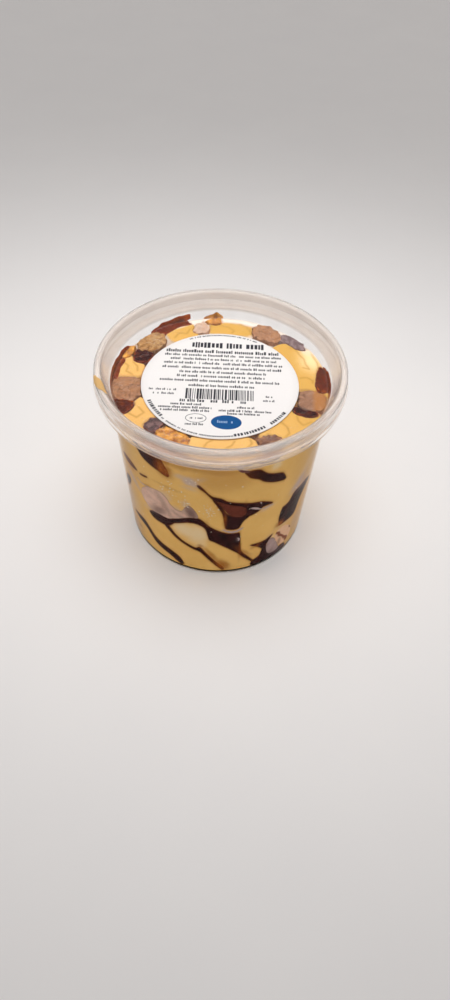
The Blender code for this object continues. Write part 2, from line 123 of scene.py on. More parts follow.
# Dab of gelato wiped over the rim: angle at its top and how far it leans over its length, half its width in
# degrees at the ends and what the middle adds, thickness in mm, and heights of its rows on the skirt
DAB_ANGLE = -66.5
DAB_LEAN = -12.5
DAB_HALF = 1.9
DAB_BULGE = 2.8
DAB_THICKNESS = 0.14
DAB_SKIRT = (102.7, 102.0, 101.3, 100.6, 100.1)

# Label print and the marks moulded in the lid
PRINT_SINK = 0.02
PRINT_LIFT = 0.02
OVAL_STROKES = 40
MARK_COUNT = 22
MARK_RADIUS = 43.6
MARK_WIDTH = 0.45
MARK_HEIGHT = 0.2

# View and light, in metres and degrees
CAMERA_PLACE = (0.00444, -0.27493, 0.33074)
CAMERA_PITCH = 49.823
CAMERA_ROLL = 2.461
CAMERA_LENS = 27.0
SENSOR_WIDTH = 36.0
LAMP_HEIGHT = 0.44
LAMP_SHIFT = 0.055
LAMP_SIZE = (0.5, 0.38)
LAMP_POWER = 0.41
LAMP_SPREAD = 78
ROOM_COLOUR = (1.0, 0.985, 0.975, 1)
ROOM_STRENGTH = 0.62

# Plastics: specular, roughness, clarity, index of refraction and tint
PLASTICS = {
    "wall_plastic": (0.1, 0.04, 1.0, 1.06, (0.99, 0.988, 0.985)),
    "rim_plastic": (0.3, 0.14, 0.86, 1.2, (0.945, 0.905, 0.875)),
    "lid_plastic": (0.2, 0.06, 0.985, 1.13, (0.985, 0.98, 0.975)),
    # The foot's plastic is milky and pale: partly the foot's own look, partly painted light that lightens the
    # dark shade under the food there
    "foot_plastic": (0.2, 0.25, 0.45, 1.1, (0.85, 0.82, 0.79)),
}

# Gelato at the back shows paler: where in y that begins, and over how much it grows
BACK_START = 22
BACK_FADE = 10

# At the back, the edge of the gelato's top is pale from a radius on, and its skin from a height on. The hollows
# at that edge are filled by a share.
EDGE_START = 46.4
EDGE_FADE = 1.4
EDGE_FILLED = 0.75
SKIN_START = 89.0
SKIN_FADE = 1.2

# Painted shade on the sides of the wall: round an angle, over how many degrees, and how strongly
SIDE_ANGLE = 68
SIDE_FADE = 20
SIDE_SHADE = 0.42

# Soft spots under the lid: centre x, y, half width, half depth and strength
PALE_SPOT = (45.5, 20.5, 7.5, 10, 0.8)
FROST_SMUDGE = (14, 45.8, 5, 1.6, 0.7)

# Flattened folds under the lid: centre x, y, half width, half depth and turn in degrees
FOLDS = [
    (-21.2, 37.8, 7.6, 7.4, 24.0),
    (3.6, 41.9, 11.2, 5.5, 0.0),
    (36.8, 16.6, 8.8, 15.8, 26.0),
    (46.4, 18.6, 4.6, 9.6, 18.0),
    (40.8, 1.4, 5.0, 4.4, 0.0),
    (51.0, -7.5, 2.4, 7.6, 8.0),
    (33.4, -28.6, 15.6, 9.4, 40.0),
    (2.6, -42.8, 15.4, 7.4, 0.0),
    (-37.0, -24.4, 8.6, 12.6, 40.0),
    (-46.4, 8.8, 8.2, 8.2, 0.0),
]

# Ripples of sauce in the wall: (angle, low, high) from left to right
WALL_SAUCE = {
    "sauce_upper_left": [
        [(-50, 86.6, 88.2), (-47, 85, 87.8), (-44, 82, 86.4), (-42, 79.6, 85.4), (-40, 78.6, 85),
         (-37, 77.6, 84.9), (-35, 77, 86.2), (-33, 76.6, 88.2), (-30, 75.8, 88.5), (-28.8, 75.2, 86.6),
         (-27.6, 74.9, 83.6), (-26, 74.5, 80.4), (-24.6, 74.6, 77.6)],
    ],
    "sauce_left_line": [
        [(-64, 64, 65.8), (-60, 62.9, 67), (-55, 62.9, 67.2), (-51, 63.4, 66.2), (-48.6, 64, 65)],
        [(-46.4, 63.4, 64.3), (-43, 64, 65.3), (-40, 65.2, 66.2)],
    ],
    "sauce_left_patch": [
        [(-68, 38, 44.5), (-65, 39.4, 48.6), (-62, 43, 50.2), (-59.5, 46.5, 50.4)],
    ],
    "sauce_middle": [
        [(-42.4, 36.6, 37.8), (-40, 34.4, 39.8), (-37, 33.7, 40.8), (-33, 33.8, 41.3), (-30, 33.6, 41.2),
         (-27.6, 34.9, 41.4), (-26, 36.6, 42.2), (-24, 39.2, 43.4), (-20, 41.2, 45.6), (-16, 43.3, 47.6),
         (-12, 44, 49), (-9.4, 43.6, 49.2), (-7, 42.4, 47.8), (-5.4, 40.8, 46), (-4.2, 37.6, 44.6),
         (-3.8, 31.8, 44.2), (-2, 30.6, 42.6), (0, 29.7, 41.2), (3, 27.6, 39.5), (5, 26.2, 38.5),
         (8, 24, 37.4), (12, 20.6, 37.2), (14.6, 18.2, 37.5), (15.4, 17.2, 36.4), (15.8, 16.6, 22),
         (18, 13.7, 17.9), (21, 10.6, 14), (24, 7.4, 10), (26, 5.4, 7.6)],
        [(-31, 33, 36.2), (-28, 30.8, 35.4), (-25.6, 28.2, 32), (-24, 26.9, 29.9), (-20, 24.3, 26.6),
         (-16, 22.3, 24.5), (-12, 20.5, 22.7), (-10.4, 20.2, 22.8), (-9.4, 19.8, 24.4), (-8, 18.8, 23.6),
         (-5, 15.2, 19.6), (-2, 11.4, 15.6), (2, 6.8, 10.6), (4, 4.6, 8.6), (6.6, 2.4, 5.6)],
    ],
    "sauce_low_left": [
        [(-62, 20.9, 22), (-57, 20, 23.3), (-52, 19.5, 24.3), (-49, 18.9, 24), (-46.6, 17.4, 22.6),
         (-44, 14.8, 20.3), (-41, 11.9, 17.2), (-38, 10.3, 15.6), (-34, 9, 14.2), (-30, 7.9, 13.2),
         (-27, 6.3, 12.2), (-24, 4.2, 10.8), (-21.8, 3, 9), (-19.8, 2.6, 6)],
    ],
    "sauce_round_lens": [
        [(-9.6, 73.6, 75.4), (-8, 72.1, 74.8), (-6, 70.6, 72.6), (-4, 68.4, 69.9), (-3, 67, 68.7),
         (-1.5, 65.2, 67.5), (0, 63.8, 67.1), (3, 62.6, 66.4), (4.6, 61.6, 65.4), (6, 61, 64.2),
         (9, 59.8, 63.1), (12, 58.6, 62.3), (16, 56.4, 61.3), (17, 49.8, 61), (20, 49.8, 60.3),
         (23, 51, 59.9), (25.4, 52.4, 59.5), (26.6, 54.4, 59), (29, 54.6, 57.8), (31, 54.6, 56.8),
         (33, 54.4, 55.4)],
        [(-1.4, 64, 66), (0, 62.2, 65.4), (1, 60.3, 64), (2, 58.2, 62.6), (3.2, 55.9, 61), (4.4, 53.6, 58.6),
         (5.5, 42, 56), (6.6, 41, 54), (8, 40.6, 53), (10, 40.2, 52), (13, 40.4, 52), (14.4, 41.6, 52),
         (15.2, 44.8, 52), (17, 47.6, 52), (19.4, 49.2, 51.6)],
    ],
    "sauce_upper_right": [
        [(14.2, 83.8, 84.7), (15.6, 82, 84.9), (17, 79.9, 85), (20, 78.4, 85), (22.4, 77.3, 84.5),
         (24.4, 75.2, 82.5), (26, 74.1, 80.9), (28, 73, 79.5), (31, 71.6, 78.1), (34, 70.5, 77.1),
         (36.6, 69.8, 75.9), (38.2, 69.4, 73.4), (39.4, 69.4, 71)],
    ],
    "sauce_right": [
        [(40.4, 31, 44.4), (41.5, 29.8, 45.8), (44, 29.6, 46.1), (46.6, 29.7, 47), (48, 29.7, 49.8),
         (49.4, 29.6, 52.2), (52, 29.4, 52.9), (55.6, 30, 53), (57, 33, 53.2), (57.8, 38.4, 53.2),
         (60, 42.4, 53.2), (63, 46.4, 52.8), (66.6, 49.7, 51.2)],
    ],
    "sauce_low_right": [
        [(22.4, 22.7, 23.5), (25, 21, 23.3), (28, 19, 23), (30, 17, 23), (31, 15.4, 23.1), (32.6, 15.4, 23.3),
         (34, 18.4, 24), (35.6, 21.6, 24.8), (37.6, 24.6, 25.6)],
        [(24, 2.2, 7.4), (26, 1.9, 8.2), (29, 1.9, 9.5), (30.5, 1.9, 11.5), (31, 1.9, 17.6), (33, 1.9, 19),
         (34.4, 1.9, 17.6), (35.5, 1.9, 12), (36.6, 1.9, 8.6), (40, 1.9, 7.4), (44, 1.9, 7.6), (48, 1.9, 8.2),
         (51, 2.4, 7.2), (53, 3, 5)],
    ],
    "sauce_back_right": [
        [(78, 72, 74), (86, 68, 72.4), (95, 63.5, 70), (104, 60, 67), (114, 58.5, 63), (124, 59, 62.4),
         (134, 61.5, 64)],
    ],
    "sauce_back_low": [
        [(96, 20, 22), (106, 21, 27), (116, 24, 33), (126, 29, 37), (138, 31.5, 38.5), (150, 30, 36),
         (160, 26, 31), (170, 23.4, 26)],
    ],
    "sauce_back_upper": [
        [(158, 84, 86.4), (166, 79, 87), (174, 75, 84.6), (183, 71, 79.4), (192, 68.6, 73.6),
         (200, 67.6, 70)],
    ],
    "sauce_back_middle": [
        [(172, 47, 49.4), (180, 45, 52), (188, 44, 53.4), (197, 46, 54), (206, 51, 56.6), (214, 55, 58)],
    ],
    "sauce_back_left": [
        [(210, 33, 35), (220, 28.6, 35), (230, 23, 32), (240, 18, 26.6), (250, 14.6, 20.6),
         (260, 12.4, 16)],
    ],
    "sauce_side_left": [
        [(236, 80, 82.4), (244, 75.6, 82), (252, 72, 79.6), (260, 71, 75.8), (270, 72, 74.4)],
    ],
}
WALL_BROWNIES = {
    "brownie_lens": [
        (1.8, 63.2, 64.2), (3.2, 60.8, 63.4), (5, 57.4, 62.6), (7, 54, 61.8), (9, 51.9, 61), (11, 50.9, 60.3),
        (14, 50.3, 59.2), (16.2, 50.8, 58), (17.5, 52.8, 56.4)],
    "brownie_frosted": [
        (-47.4, 46.4, 51.6), (-45, 43.4, 54.8), (-42, 41.2, 57.4), (-38, 40.4, 59.4), (-34, 41, 60.4),
        (-31, 40.9, 60.2), (-28, 41.1, 58.4), (-25.6, 42.2, 54), (-22.6, 43.9, 51.4), (-19, 45.8, 51.4),
        (-16.8, 47, 55.4), (-14.6, 47.9, 58.2), (-12, 48.6, 56.2), (-9.2, 48.6, 51.4)],
    "brownie_low_right": [
        (34, 14, 18), (35.2, 10, 21.6), (37, 7.6, 22.4), (39, 6.6, 21.4), (41.4, 6.4, 17.6), (44, 6.6, 11.4),
        (45.4, 7.4, 9.4)],
    "brownie_back_upper": [(116, 76, 82), (121, 73, 85), (128, 73.6, 85.6), (134, 77, 84)],
    "brownie_back_low": [(184, 14, 20), (190, 11, 25.6), (197, 12, 27), (203, 17, 25)],
    "brownie_side_left": [(262, 42, 48), (268, 38.6, 53), (275, 39.4, 54), (281, 44, 51)],
}
WALL_NUTS = {
    "nut_low_right": [
        (40, 20, 23.4), (41.4, 15.4, 25.6), (43.4, 11.6, 26.6), (46, 9.6, 26.6), (49, 8.6, 25.4),
        (52, 8.8, 23), (54.4, 10, 20), (56, 12.6, 17)],
    "nut_back": [(146, 52, 58), (152, 49.6, 60), (158, 52, 58.4)],
}

# Pieces under the lid: outline in x and y
TOP_BROWNIES = {
    "brownie_top_1": [(-42.4, 21.6), (-42.2, 29.6), (-39, 34), (-34.6, 36.6), (-30.4, 35.6), (-28.6, 31),
                      (-30, 26.4), (-34.4, 21)],
    "brownie_top_2": [(-15, 37.8), (-15, 44.6), (-11, 47.6), (-7.6, 45), (-7.4, 38.2)],
    "brownie_top_3": [(15.4, 36.2), (14.6, 43.4), (18.4, 47), (24.6, 45.4), (29, 41), (28.6, 34.2),
                      (27.4, 31.6), (21, 34.2)],
    "brownie_top_4": [(36.8, -3.6), (43, -2.6), (49.6, -5), (51, -10), (48.6, -15.4), (44, -17.4),
                      (36.8, -14.6)],
    "brownie_top_5": [(17.6, -36), (18.6, -41), (26, -41), (31, -37.6), (26, -34.4), (21.4, -34.4)],
    "brownie_top_6": [(-38.6, 0.6), (-44.6, 2.2), (-50.4, 1.6), (-52.2, -3.5), (-51.4, -9.4), (-48.6, -14.8),
                      (-41, -15.6), (-37, -9.6)],
}
TOP_CARAMEL = {
    "caramel_top_1": [(-9.6, 47.6), (-7, 51), (-2, 51.4), (-0.6, 47.2), (-4.6, 44.6)],
    "caramel_top_2": [(-50.2, 16.4), (-50, 20.4), (-46.8, 25), (-43.6, 25.6), (-43.4, 21.4), (-46, 16.2)],
    "caramel_top_3": [(-28.4, -33.4), (-26.6, -38.6), (-20, -42.6), (-13.4, -42), (-12.8, -37), (-18, -33.2),
                      (-23, -31)],
}
TOP_SAUCE = {
    "sauce_top_1": [(-36.4, 36.4), (-33, 40.4), (-26.6, 44.6), (-18.6, 47.6), (-16.6, 44.8), (-23.6, 41.4),
                    (-29.6, 35.6)],
    "sauce_top_2": [(29.4, 39.6), (34.4, 38.2), (41.4, 31.2), (41.4, 27), (37, 27.6), (33, 31.4),
                    (28.8, 33.4)],
    "sauce_top_3": [(46.2, 8), (47.6, 14.6), (50.6, 13.6), (52, 6), (52.2, -2.6), (47.6, -4), (45.4, 1)],
    "sauce_top_4": [(34.6, -14.4), (40, -17), (45.6, -17.6), (46.4, -20), (42, -21.6), (37.4, -20.4),
                    (34, -18)],
    "sauce_top_5": [(-40, -15), (-49, -14.4), (-49.6, -19), (-44.6, -24.6), (-40.4, -20.6)],
    "sauce_top_6": [(-51.8, -1.6), (-52, 6.5), (-49.6, 15.6), (-47.4, 14.6), (-49.4, 7.4), (-49.8, -0.4)],
    "sauce_top_7": [(-44, 20.4), (-40.4, 23.2), (-35, 20.6), (-34, 15.5), (-37.4, 11.8), (-43.4, 14)],
    "sauce_top_8": [(-31.6, -26.6), (-34, -31.6), (-30.6, -36), (-26.6, -33.6), (-24.6, -28), (-27, -25.4)],
}

# Share of amber and of frost in pieces under the lid, where it isn't 0 and 0.1
TOP_STAINS = {
    "sauce_top_1": (0.25, 0.0),
    "sauce_top_2": (0.0, 0.95),
    "sauce_top_3": (0.16, 0.0),
    "sauce_top_4": (0.0, 0.0),
    "sauce_top_5": (0.1, 0.0),
    "sauce_top_6": (0.3, 0.0),
    "sauce_top_7": (0.0, 0.0),
    "sauce_top_8": (0.0, 0.45),
}
TOP_SHADE = {"brownie_top_4": 0.34, "brownie_top_6": 0.1, "brownie_top_3": 0.08}

# Brownies: dark, light and bloom colours, share of bloom, size of the crumb in mm and strength of the cracks
BROWNIE_LOOKS = {
    "dark": ((0.11, 0.026, 0.014), (0.21, 0.048, 0.028), (0.26, 0.08, 0.05), 0.2, 1.1, 0.7),
    "frosted": ((0.62, 0.38, 0.29), (0.80, 0.50, 0.37), (0.86, 0.60, 0.47), 0.6, 3.0, 0.2),
    "mauve": ((0.33, 0.20, 0.18), (0.48, 0.32, 0.29), (0.56, 0.41, 0.38), 0.6, 3.2, 0.2),
    "crumb": ((0.25, 0.11, 0.054), (0.38, 0.185, 0.098), (0.44, 0.25, 0.145), 0.5, 1.8, 0.7),
    "tan": ((0.19, 0.075, 0.022), (0.45, 0.255, 0.10), (0.48, 0.32, 0.17), 0.5, 2.0, 0.3),
    "dusk": ((0.10, 0.04, 0.028), (0.24, 0.125, 0.09), (0.32, 0.20, 0.16), 0.4, 2.2, 0.7),
    "dove": ((0.42, 0.27, 0.20), (0.56, 0.385, 0.29), (0.60, 0.45, 0.35), 0.5, 3.0, 0.2),
}
BROWNIE_LOOK_OF = {
    "brownie_lens": "dark",
    "brownie_back_low": "dark",
    "brownie_frosted": "frosted",
    "brownie_side_left": "frosted",
    "brownie_low_right": "mauve",
    "brownie_back_upper": "mauve",
    "brownie_top_1": "tan",
    "brownie_top_2": "dove",
    "brownie_top_5": "dusk",
}

# Thin smears high on the wall: (angle, low, high)
SMEARS = {
    "sauce_smear_back": [
        (199.6, 94.2, 94.8), (202, 92.6, 95), (205, 90.8, 94.8), (209, 89.6, 94.4), (213, 89.2, 94.2),
        (218, 89.4, 93.6), (222, 90, 92.8), (225, 90.6, 91.8)],
    "caramel_smear_back": [
        (180.6, 90.2, 92), (182, 89.8, 93), (184.4, 89.4, 94.2), (187, 89.4, 93.6), (190, 89.4, 92.4),
        (192, 90, 91.4)],
    "sauce_smear_left": [
        (241, 90, 91.6), (244, 89.6, 93.4), (250, 89.8, 94.4), (258, 90, 94.6), (266, 90, 95),
        (274, 90, 94.6), (281, 90.4, 94), (286, 91, 92.6)],
    "sauce_smear_right": [
        (82, 90.4, 92.4), (86, 90, 94.2), (92, 89.8, 94.4), (99, 89.8, 94), (104, 90.2, 93), (107, 91, 92)],
    "sauce_smear_flange": [
        (45.6, 86.8, 88), (49, 85.4, 88.6), (53, 83.8, 87.8), (58, 81.6, 85.6), (63, 79.2, 82.8),
        (68, 76.4, 79.4), (73, 73.4, 75.4)],
    "sauce_smear_front": [
        (10.6, 86.8, 87.6), (12.4, 85.2, 86.8), (14.4, 84.2, 85.8), (16.4, 84.6, 85.4)],
}

DULL_SMEARS = ("sauce_smear_flange", "sauce_smear_front")
DULL_AMBER = 0.25
DULL_FROST = 0.35

# Frost on the wall: clusters of specks as angle, height, half angle, half height and count, and streaks as
# places of (angle, height) and a width
FROST_CLUSTERS = [(-25, 65, 5, 5, 34), (-16, 59, 3, 2.4, 22), (-3, 55, 4, 5, 40), (-12, 77, 5, 2, 8),
                  (0, 60, 60, 28, 24)]
FROST_STREAKS = [
    ([(4.8, 40.8), (6.6, 39.4), (10, 38.5), (13, 38.9), (15.4, 40.6), (16.4, 41.4)], 1.6),
    ([(19.4, 56.4), (21.6, 55.6), (24, 54.4), (25.6, 53.4)], 1.7),
    ([(25.4, 53.6), (28, 53.2), (31, 53.8), (33.6, 53.8)], 1.0),
    ([(25, 59.4), (25.6, 57.6)], 0.8),
    ([(13.6, 33), (14.6, 31.4), (14, 29.8)], 1.1),
    ([(-50, 58.4), (-46, 57.2), (-42.4, 57.8), (-39, 59)], 0.6),
]

# Soft spots on the wall: angle, height, half width and half height in mm, turn in degrees, strength
AMBER_AND_SHADOW_SPOTS = [
    # The first three, wide and high on the front just under the flange, are a painted shadow of the flange
    (-14, 86.4, 26, 3.4, 0, 0.5),
    (3, 80, 15, 9, 0, 0.34),
    (2, 85, 13, 4, 0, 0.48),
    (-27.8, 79, 4.4, 5.4, 24, 1.0),
    (-27, 86, 4, 3, 0, 0.7),
    (-1.2, 17, 1.8, 9, 36, 0.62),
    (5.4, 8.6, 3.4, 6.5, 36, 0.85),
    (-9, 25, 2, 1.6, 0, 0.6),
    (18.4, 18.6, 1.6, 8, 42, 0.5),
    (15.6, 24.5, 1, 4, 0, 0.5),
    (42, 31.5, 3, 2.6, 0, 0.85),
    (5.6, 48, 1, 6, 0, 0.6),
    (-57, 65, 6, 1.6, 0, 0.55),
    (-55, 61.5, 4, 1.5, 0, 0.35),
    (-41, 58.6, 3, 1.2, 20, 0.4),
    (-58, 12, 4, 1.2, 10, 0.45),
    (-64, 77, 5, 2, 40, 0.35),
    (-26, 66.6, 9, 1, 0, 0.3),
    (26, 20.6, 3, 1.4, 20, 0.5),
    (44, 28.4, 6, 1.6, 0, 0.22),
]
CREAM_SPOTS = [
    (-17, 36.5, 8.5, 6, -20, 1.0),
    (-10, 35, 7, 8, -20, 1.0),
    (-8, 28, 3.6, 5, -35, 0.6),
    (31.5, 84, 3.2, 3.2, 0, 1.0),
    (36, 22, 3.6, 4, 0, 0.7),
    (45, 28.2, 7, 1.8, 0, 0.5),
    (-60, 30, 8, 12, 0, 0.5),
    (58, 68, 10, 4, 45, 0.4),
]
FROST_SPOTS = [
    (-13.4, 76, 4.6, 3, -25, 0.85),
    (-18, 78, 3.4, 2, 0, 0.5),
    (-9, 78.6, 4, 1.6, 20, 0.3),
    (-14, 71, 4, 1.6, -10, 0.35),
    (52.6, 58, 7, 4.2, 45, 0.85),
    (57, 55, 5, 4, 30, 0.6),
    (-54, 53, 8.5, 2.6, -40, 0.6),
    (-40, 41, 7, 2.4, 20, 0.4),
    (-29.4, 58.6, 4, 4, 0, 0.5),
    (-22, 51.6, 4, 2, 0, 0.5),
    (-16.6, 57.6, 2, 3, 0, 0.4),
    (-68, 30, 7, 12, 0, 0.5),
    (-66, 8, 8, 8, 0, 0.45),
    (12.6, 87.2, 4, 1.2, -40, 0.8),
    (19, 86.6, 5, 1, 0, 0.5),
    (13.6, 31.6, 1.2, 1.6, 0, 0.5),
    (30, 52, 4.4, 1.6, 15, 0.45),
    (5, 40.2, 2, 1, 0, 0.5),
    (60, 20, 6, 8, 0, 0.35),
    (48, 5, 8, 3, 0, 0.25),
]
SHADE_SPOTS = [
    (-13.2, 52.4, 3.4, 6, 20, 0.8),
    (-29.6, 51, 2.2, 9, 25, 0.35),
    (-34, 44, 6, 3, 25, 0.6),
    (-21, 47.6, 5, 1.4, -25, 0.3),
    (39, 9, 3, 3, 0, 0.25),
    (44.8, 13.6, 1.6, 3.6, 0, 0.5),
]

# Painted shade along creases in the folds under the lid, through places in x and y
CREASES = [
    [(-6, -43.6), (-4.6, -40.6), (-2, -38.8)],
    [(4, -43.6), (6.4, -41.8), (7.6, -39.2)],
    [(13.6, -42.6), (15.4, -40), (14.6, -37.8)],
    [(28.4, -25.4), (31.4, -28.6), (32.2, -32.6), (30, -35.6)],
    [(36, -20.6), (36.4, -24), (38.6, -27), (42.6, -24.6)],
    [(22.4, -33.6), (25.4, -34.6), (28, -37.6)],
    [(33.4, 28.6), (36.6, 27.4), (38.4, 23.4), (40.6, 20), (41.2, 16.4), (43, 12.6), (40, 13.6)],
    [(38.4, 5.6), (41.4, 6.4), (44.4, 4), (44, 2.2)],
    [(44.6, 24), (47, 18), (48, 12)],
    [(-40, -19.6), (-42, -23.6), (-37.6, -26.4), (-34.6, -23), (-37.4, -19.4)],
    [(-24.4, 33), (-22.6, 37), (-18.6, 36.4), (-17.4, 40.4)],
    [(-1.4, 44.4), (2.6, 43), (5.4, 40.4), (4.4, 38.6)],
    [(8, 46), (12, 44), (13.6, 40.6)],
    [(3.6, 46.4), (9, 46.2), (13, 45.8), (16.4, 45)],
    [(-48.6, 12.4), (-45.4, 9.6), (-46, 5.4), (-43, 3.4)],
    [(-43.4, 12.6), (-41, 9.4), (-40.6, 6)],
]


def tub_outer(height):
    """Outer radius of the tub's wall."""
    return FOOT_RADIUS + (WALL_RADIUS - FOOT_RADIUS) * height / FLANGE_HEIGHT


def skin_radius(height, proud):
    """Radius of food against the wall, down to the rounded foot; proud is how far it is into the plastic."""
    inner_corner = FOOT_CORNER - TUB_WALL
    below = np.clip(PANEL_TOP + inner_corner - height, 0, inner_corner)
    bend = inner_corner - np.sqrt(inner_corner ** 2 - below ** 2)
    return tub_outer(height) - TUB_WALL - bend + proud


def arc(centre, radius, start, end, steps=ARC_STEPS):
    """Points of an arc in the radius and height plane; angles in degrees, 0 outwards and 90 up."""
    points = []
    for i in range(steps + 1):
        angle = math.radians(start + (end - start) * i / steps)
        points.append((centre[0] + radius * math.cos(angle), centre[1] + radius * math.sin(angle)))
    return points


def between(a, b, height):
    """The point at a height on the line from one (radius, height) to another."""
    return a[0] + (b[0] - a[0]) * (height - a[1]) / (b[1] - a[1]), height


def fbm(points, size, seed, octaves=3):
    """Smooth noise from -1 to 1 at points in mm, with features of the given size."""
    offset = Vector((seed * 17.3, seed * 5.1, seed * 9.7))
    return np.array([noise.fractal(Vector(point) / size + offset, 1.0, 2.0, octaves) for point in points])


def eased(share):
    """A share from 0 to 1 with soft ends."""
    return share * share * (3 - 2 * share)


def soft_spot(x, y, half_x, half_y):
    """1 at the middle of an oval, and little past its edge; x and y are counted from the middle."""
    return np.exp(-np.hypot(x / half_x, y / half_y) ** 3)


def rotated(x, y, degrees):
    """Places in x and y, in axes turned by degrees."""
    cos, sin = math.cos(math.radians(degrees)), math.sin(math.radians(degrees))
    return x * cos + y * sin, y * cos - x * sin


def turned_point(radius, degrees, height):
    """The point at a radius, an angle from the front and a height."""
    turn = math.radians(degrees)
    return radius * math.sin(turn), -radius * math.cos(turn), height


def segment_distance(x, y, start, end):
    """Distance of places from the straight line between two points."""
    (x0, y0), (x1, y1) = start, end
    run, rise = x1 - x0, y1 - y0
    share = np.clip(((x - x0) * run + (y - y0) * rise) / (run ** 2 + rise ** 2), 0, 1)
    return np.hypot(x - x0 - share * run, y - y0 - share * rise)


def tube_faces(count, ring):
    """Faces of a closed tube, made of a count of rings of points and capped at both ends."""
    faces = []
    for k in range(0, (count - 1) * ring, ring):
        faces += [(k + i, k + (i + 1) % ring, k + ring + (i + 1) % ring, k + ring + i) for i in range(ring)]
    return faces + [tuple(range(ring)), tuple(range((count - 1) * ring, count * ring))]


def dome_faces(segments, rings, start, first, last):
    """Faces between closed rings of points that begin at start, closed by a first and a last point."""
    faces = []
    end = start + (rings - 1) * segments
    for i in range(segments):
        j = (i + 1) % segments
        faces.append((first, start + i, start + j))
        faces += [(k + i, k + segments + i, k + segments + j, k + j) for k in range(start, end, segments)]
        faces.append((end + i, last, end + j))
    return faces


def joined(parts):
    """Several lots of points and faces as one."""
    verts, faces = [], []
    for more, more_faces in parts:
        faces += [tuple(i + len(verts) for i in face) for face in more_faces]
        verts += list(more)
    return verts, faces


def placed(name, data):
    """A new object in the scene that holds data."""
    thing = bpy.data.objects.new(name, data)
    bpy.context.scene.collection.objects.link(thing)
    return thing


def add_piece(name, verts, faces, mat, slot, values=None, sharp=None, split=None):
    """Makes a piece of the object from points in mm, with named values at its points.

    Where split is given, mat is several, and split says from the faces' centres which one each takes.
    """
    mesh = bpy.data.meshes.new(name)
    mesh.from_pydata((np.asarray(verts, float) * MM).tolist(), [], faces)
    for key, data in (values or {}).items():
        mesh.attributes.new(key, "FLOAT", "POINT").data.foreach_set("value", np.asarray(data, np.float32))
    bm = bmesh.new()
    bm.from_mesh(mesh)
    bmesh.ops.recalc_face_normals(bm, faces=bm.faces)
    bm.to_mesh(mesh)
    bm.free()
    mesh.shade_smooth()
    if sharp:
        mesh.set_sharp_from_angle(angle=math.radians(sharp))
    for each in mat if split else (mat,):
        mesh.materials.append(each)
    if split:
        centres = np.array([tuple(face.center) for face in mesh.polygons]) / MM
        mesh.polygons.foreach_set("material_index", split(centres).astype(np.int32))
    piece = placed(name, mesh)
    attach(piece, "root")
    return piece


def revolve(profile, segments):
    """Points and faces of an outline of (radius, height) turned about Z; it starts and ends on the axis."""
    turns = np.linspace(0, math.tau, segments, endpoint=False)
    rings = [np.column_stack((radius * np.sin(turns), -radius * np.cos(turns), np.full(segments, height)))
             for radius, height in profile[1:-1]]
    verts = np.vstack(rings + [[[0, 0, profile[0][1]], [0, 0, profile[-1][1]]]])
    return verts, dome_faces(segments, len(rings), 0, len(verts) - 2, len(verts) - 1)


def link(mat, source, target):
    """Joins an output to an input."""
    mat.node_tree.links.new(source, target)


def set_inputs(mat, node, values):
    """Sets inputs of a node, each to an output or to a value of its own."""
    for name, value in values.items():
        if isinstance(value, bpy.types.NodeSocket):
            link(mat, value, node.inputs[name])
        else:
            node.inputs[name].default_value = value


def new_node(mat, kind, values):
    """A shader node with its inputs set."""
    node = mat.node_tree.nodes.new("ShaderNode" + kind)
    set_inputs(mat, node, values)
    return node


def new_material(name, roughness, specular):
    """A Principled material and its shader node."""
    mat = bpy.data.materials.new(name)
    mat.use_nodes = True
    shader = mat.node_tree.nodes["Principled BSDF"]
    set_inputs(mat, shader, {"Roughness": roughness, "Specular IOR Level": specular})
    return mat, shader


def texture(mat, size, detail=3.0, stretch=(1, 1, 1)):
    """Noise from 0 to 1 with features of a size in mm."""
    place = new_node(mat, "TexCoord", {})
    mapping = new_node(mat, "Mapping", {"Vector": place.outputs["Object"], "Scale": stretch})
    values = {"Vector": mapping.outputs["Vector"], "Scale": 1 / (size * MM), "Detail": detail}
    return new_node(mat, "TexNoise", values).outputs["Fac"]


def value_of(mat, name):
    """The output that reads a named value of the mesh."""
    node = new_node(mat, "Attribute", {})
    node.attribute_name = name
    return node.outputs["Fac"]


def stretch_range(mat, source, low, high, to_low=0.0, to_high=1.0):
    """Maps a value from one range to another, clamped."""
    values = {"Value": source, "From Min": low, "From Max": high, "To Min": to_low, "To Max": to_high}
    return new_node(mat, "MapRange", values).outputs["Result"]


def multiplied(mat, a, b):
    """The product of two values, each an output or a number."""
    node = new_node(mat, "Math", {0: a, 1: b})
    node.operation = "MULTIPLY"
    return node.outputs["Value"]


def blend(mat, factor, a, b):
    """Mixes two colours, each an output or a linear RGB colour."""
    a, b = ((*end, 1) if isinstance(end, tuple) else end for end in (a, b))
    node = new_node(mat, "Mix", {})
    node.data_type = "RGBA"
    set_inputs(mat, node, {"Factor": factor, 6: a, 7: b})
    return node.outputs[2]


def relief(mat, shader, height, distance):
    """Bump of a depth in mm from a height between 0 and 1."""
    node = new_node(mat, "Bump", {"Strength": 1.0, "Distance": distance * MM, "Height": height})
    link(mat, node.outputs["Normal"], shader.inputs["Normal"])


def coloured(mat, shader, colour, grain, detail, depth):
    """The material with its colour and with a fine relief; grain and depth in mm."""
    set_inputs(mat, shader, {"Base Color": colour})
    relief(mat, shader, texture(mat, grain, detail), depth)
    return mat


def stained(mat, colour, **stains):
    """A colour with stains over it, each where the mesh's value of that name says."""
    for name, stain in stains.items():
        colour = blend(mat, value_of(mat, name), colour, stain)
    return colour


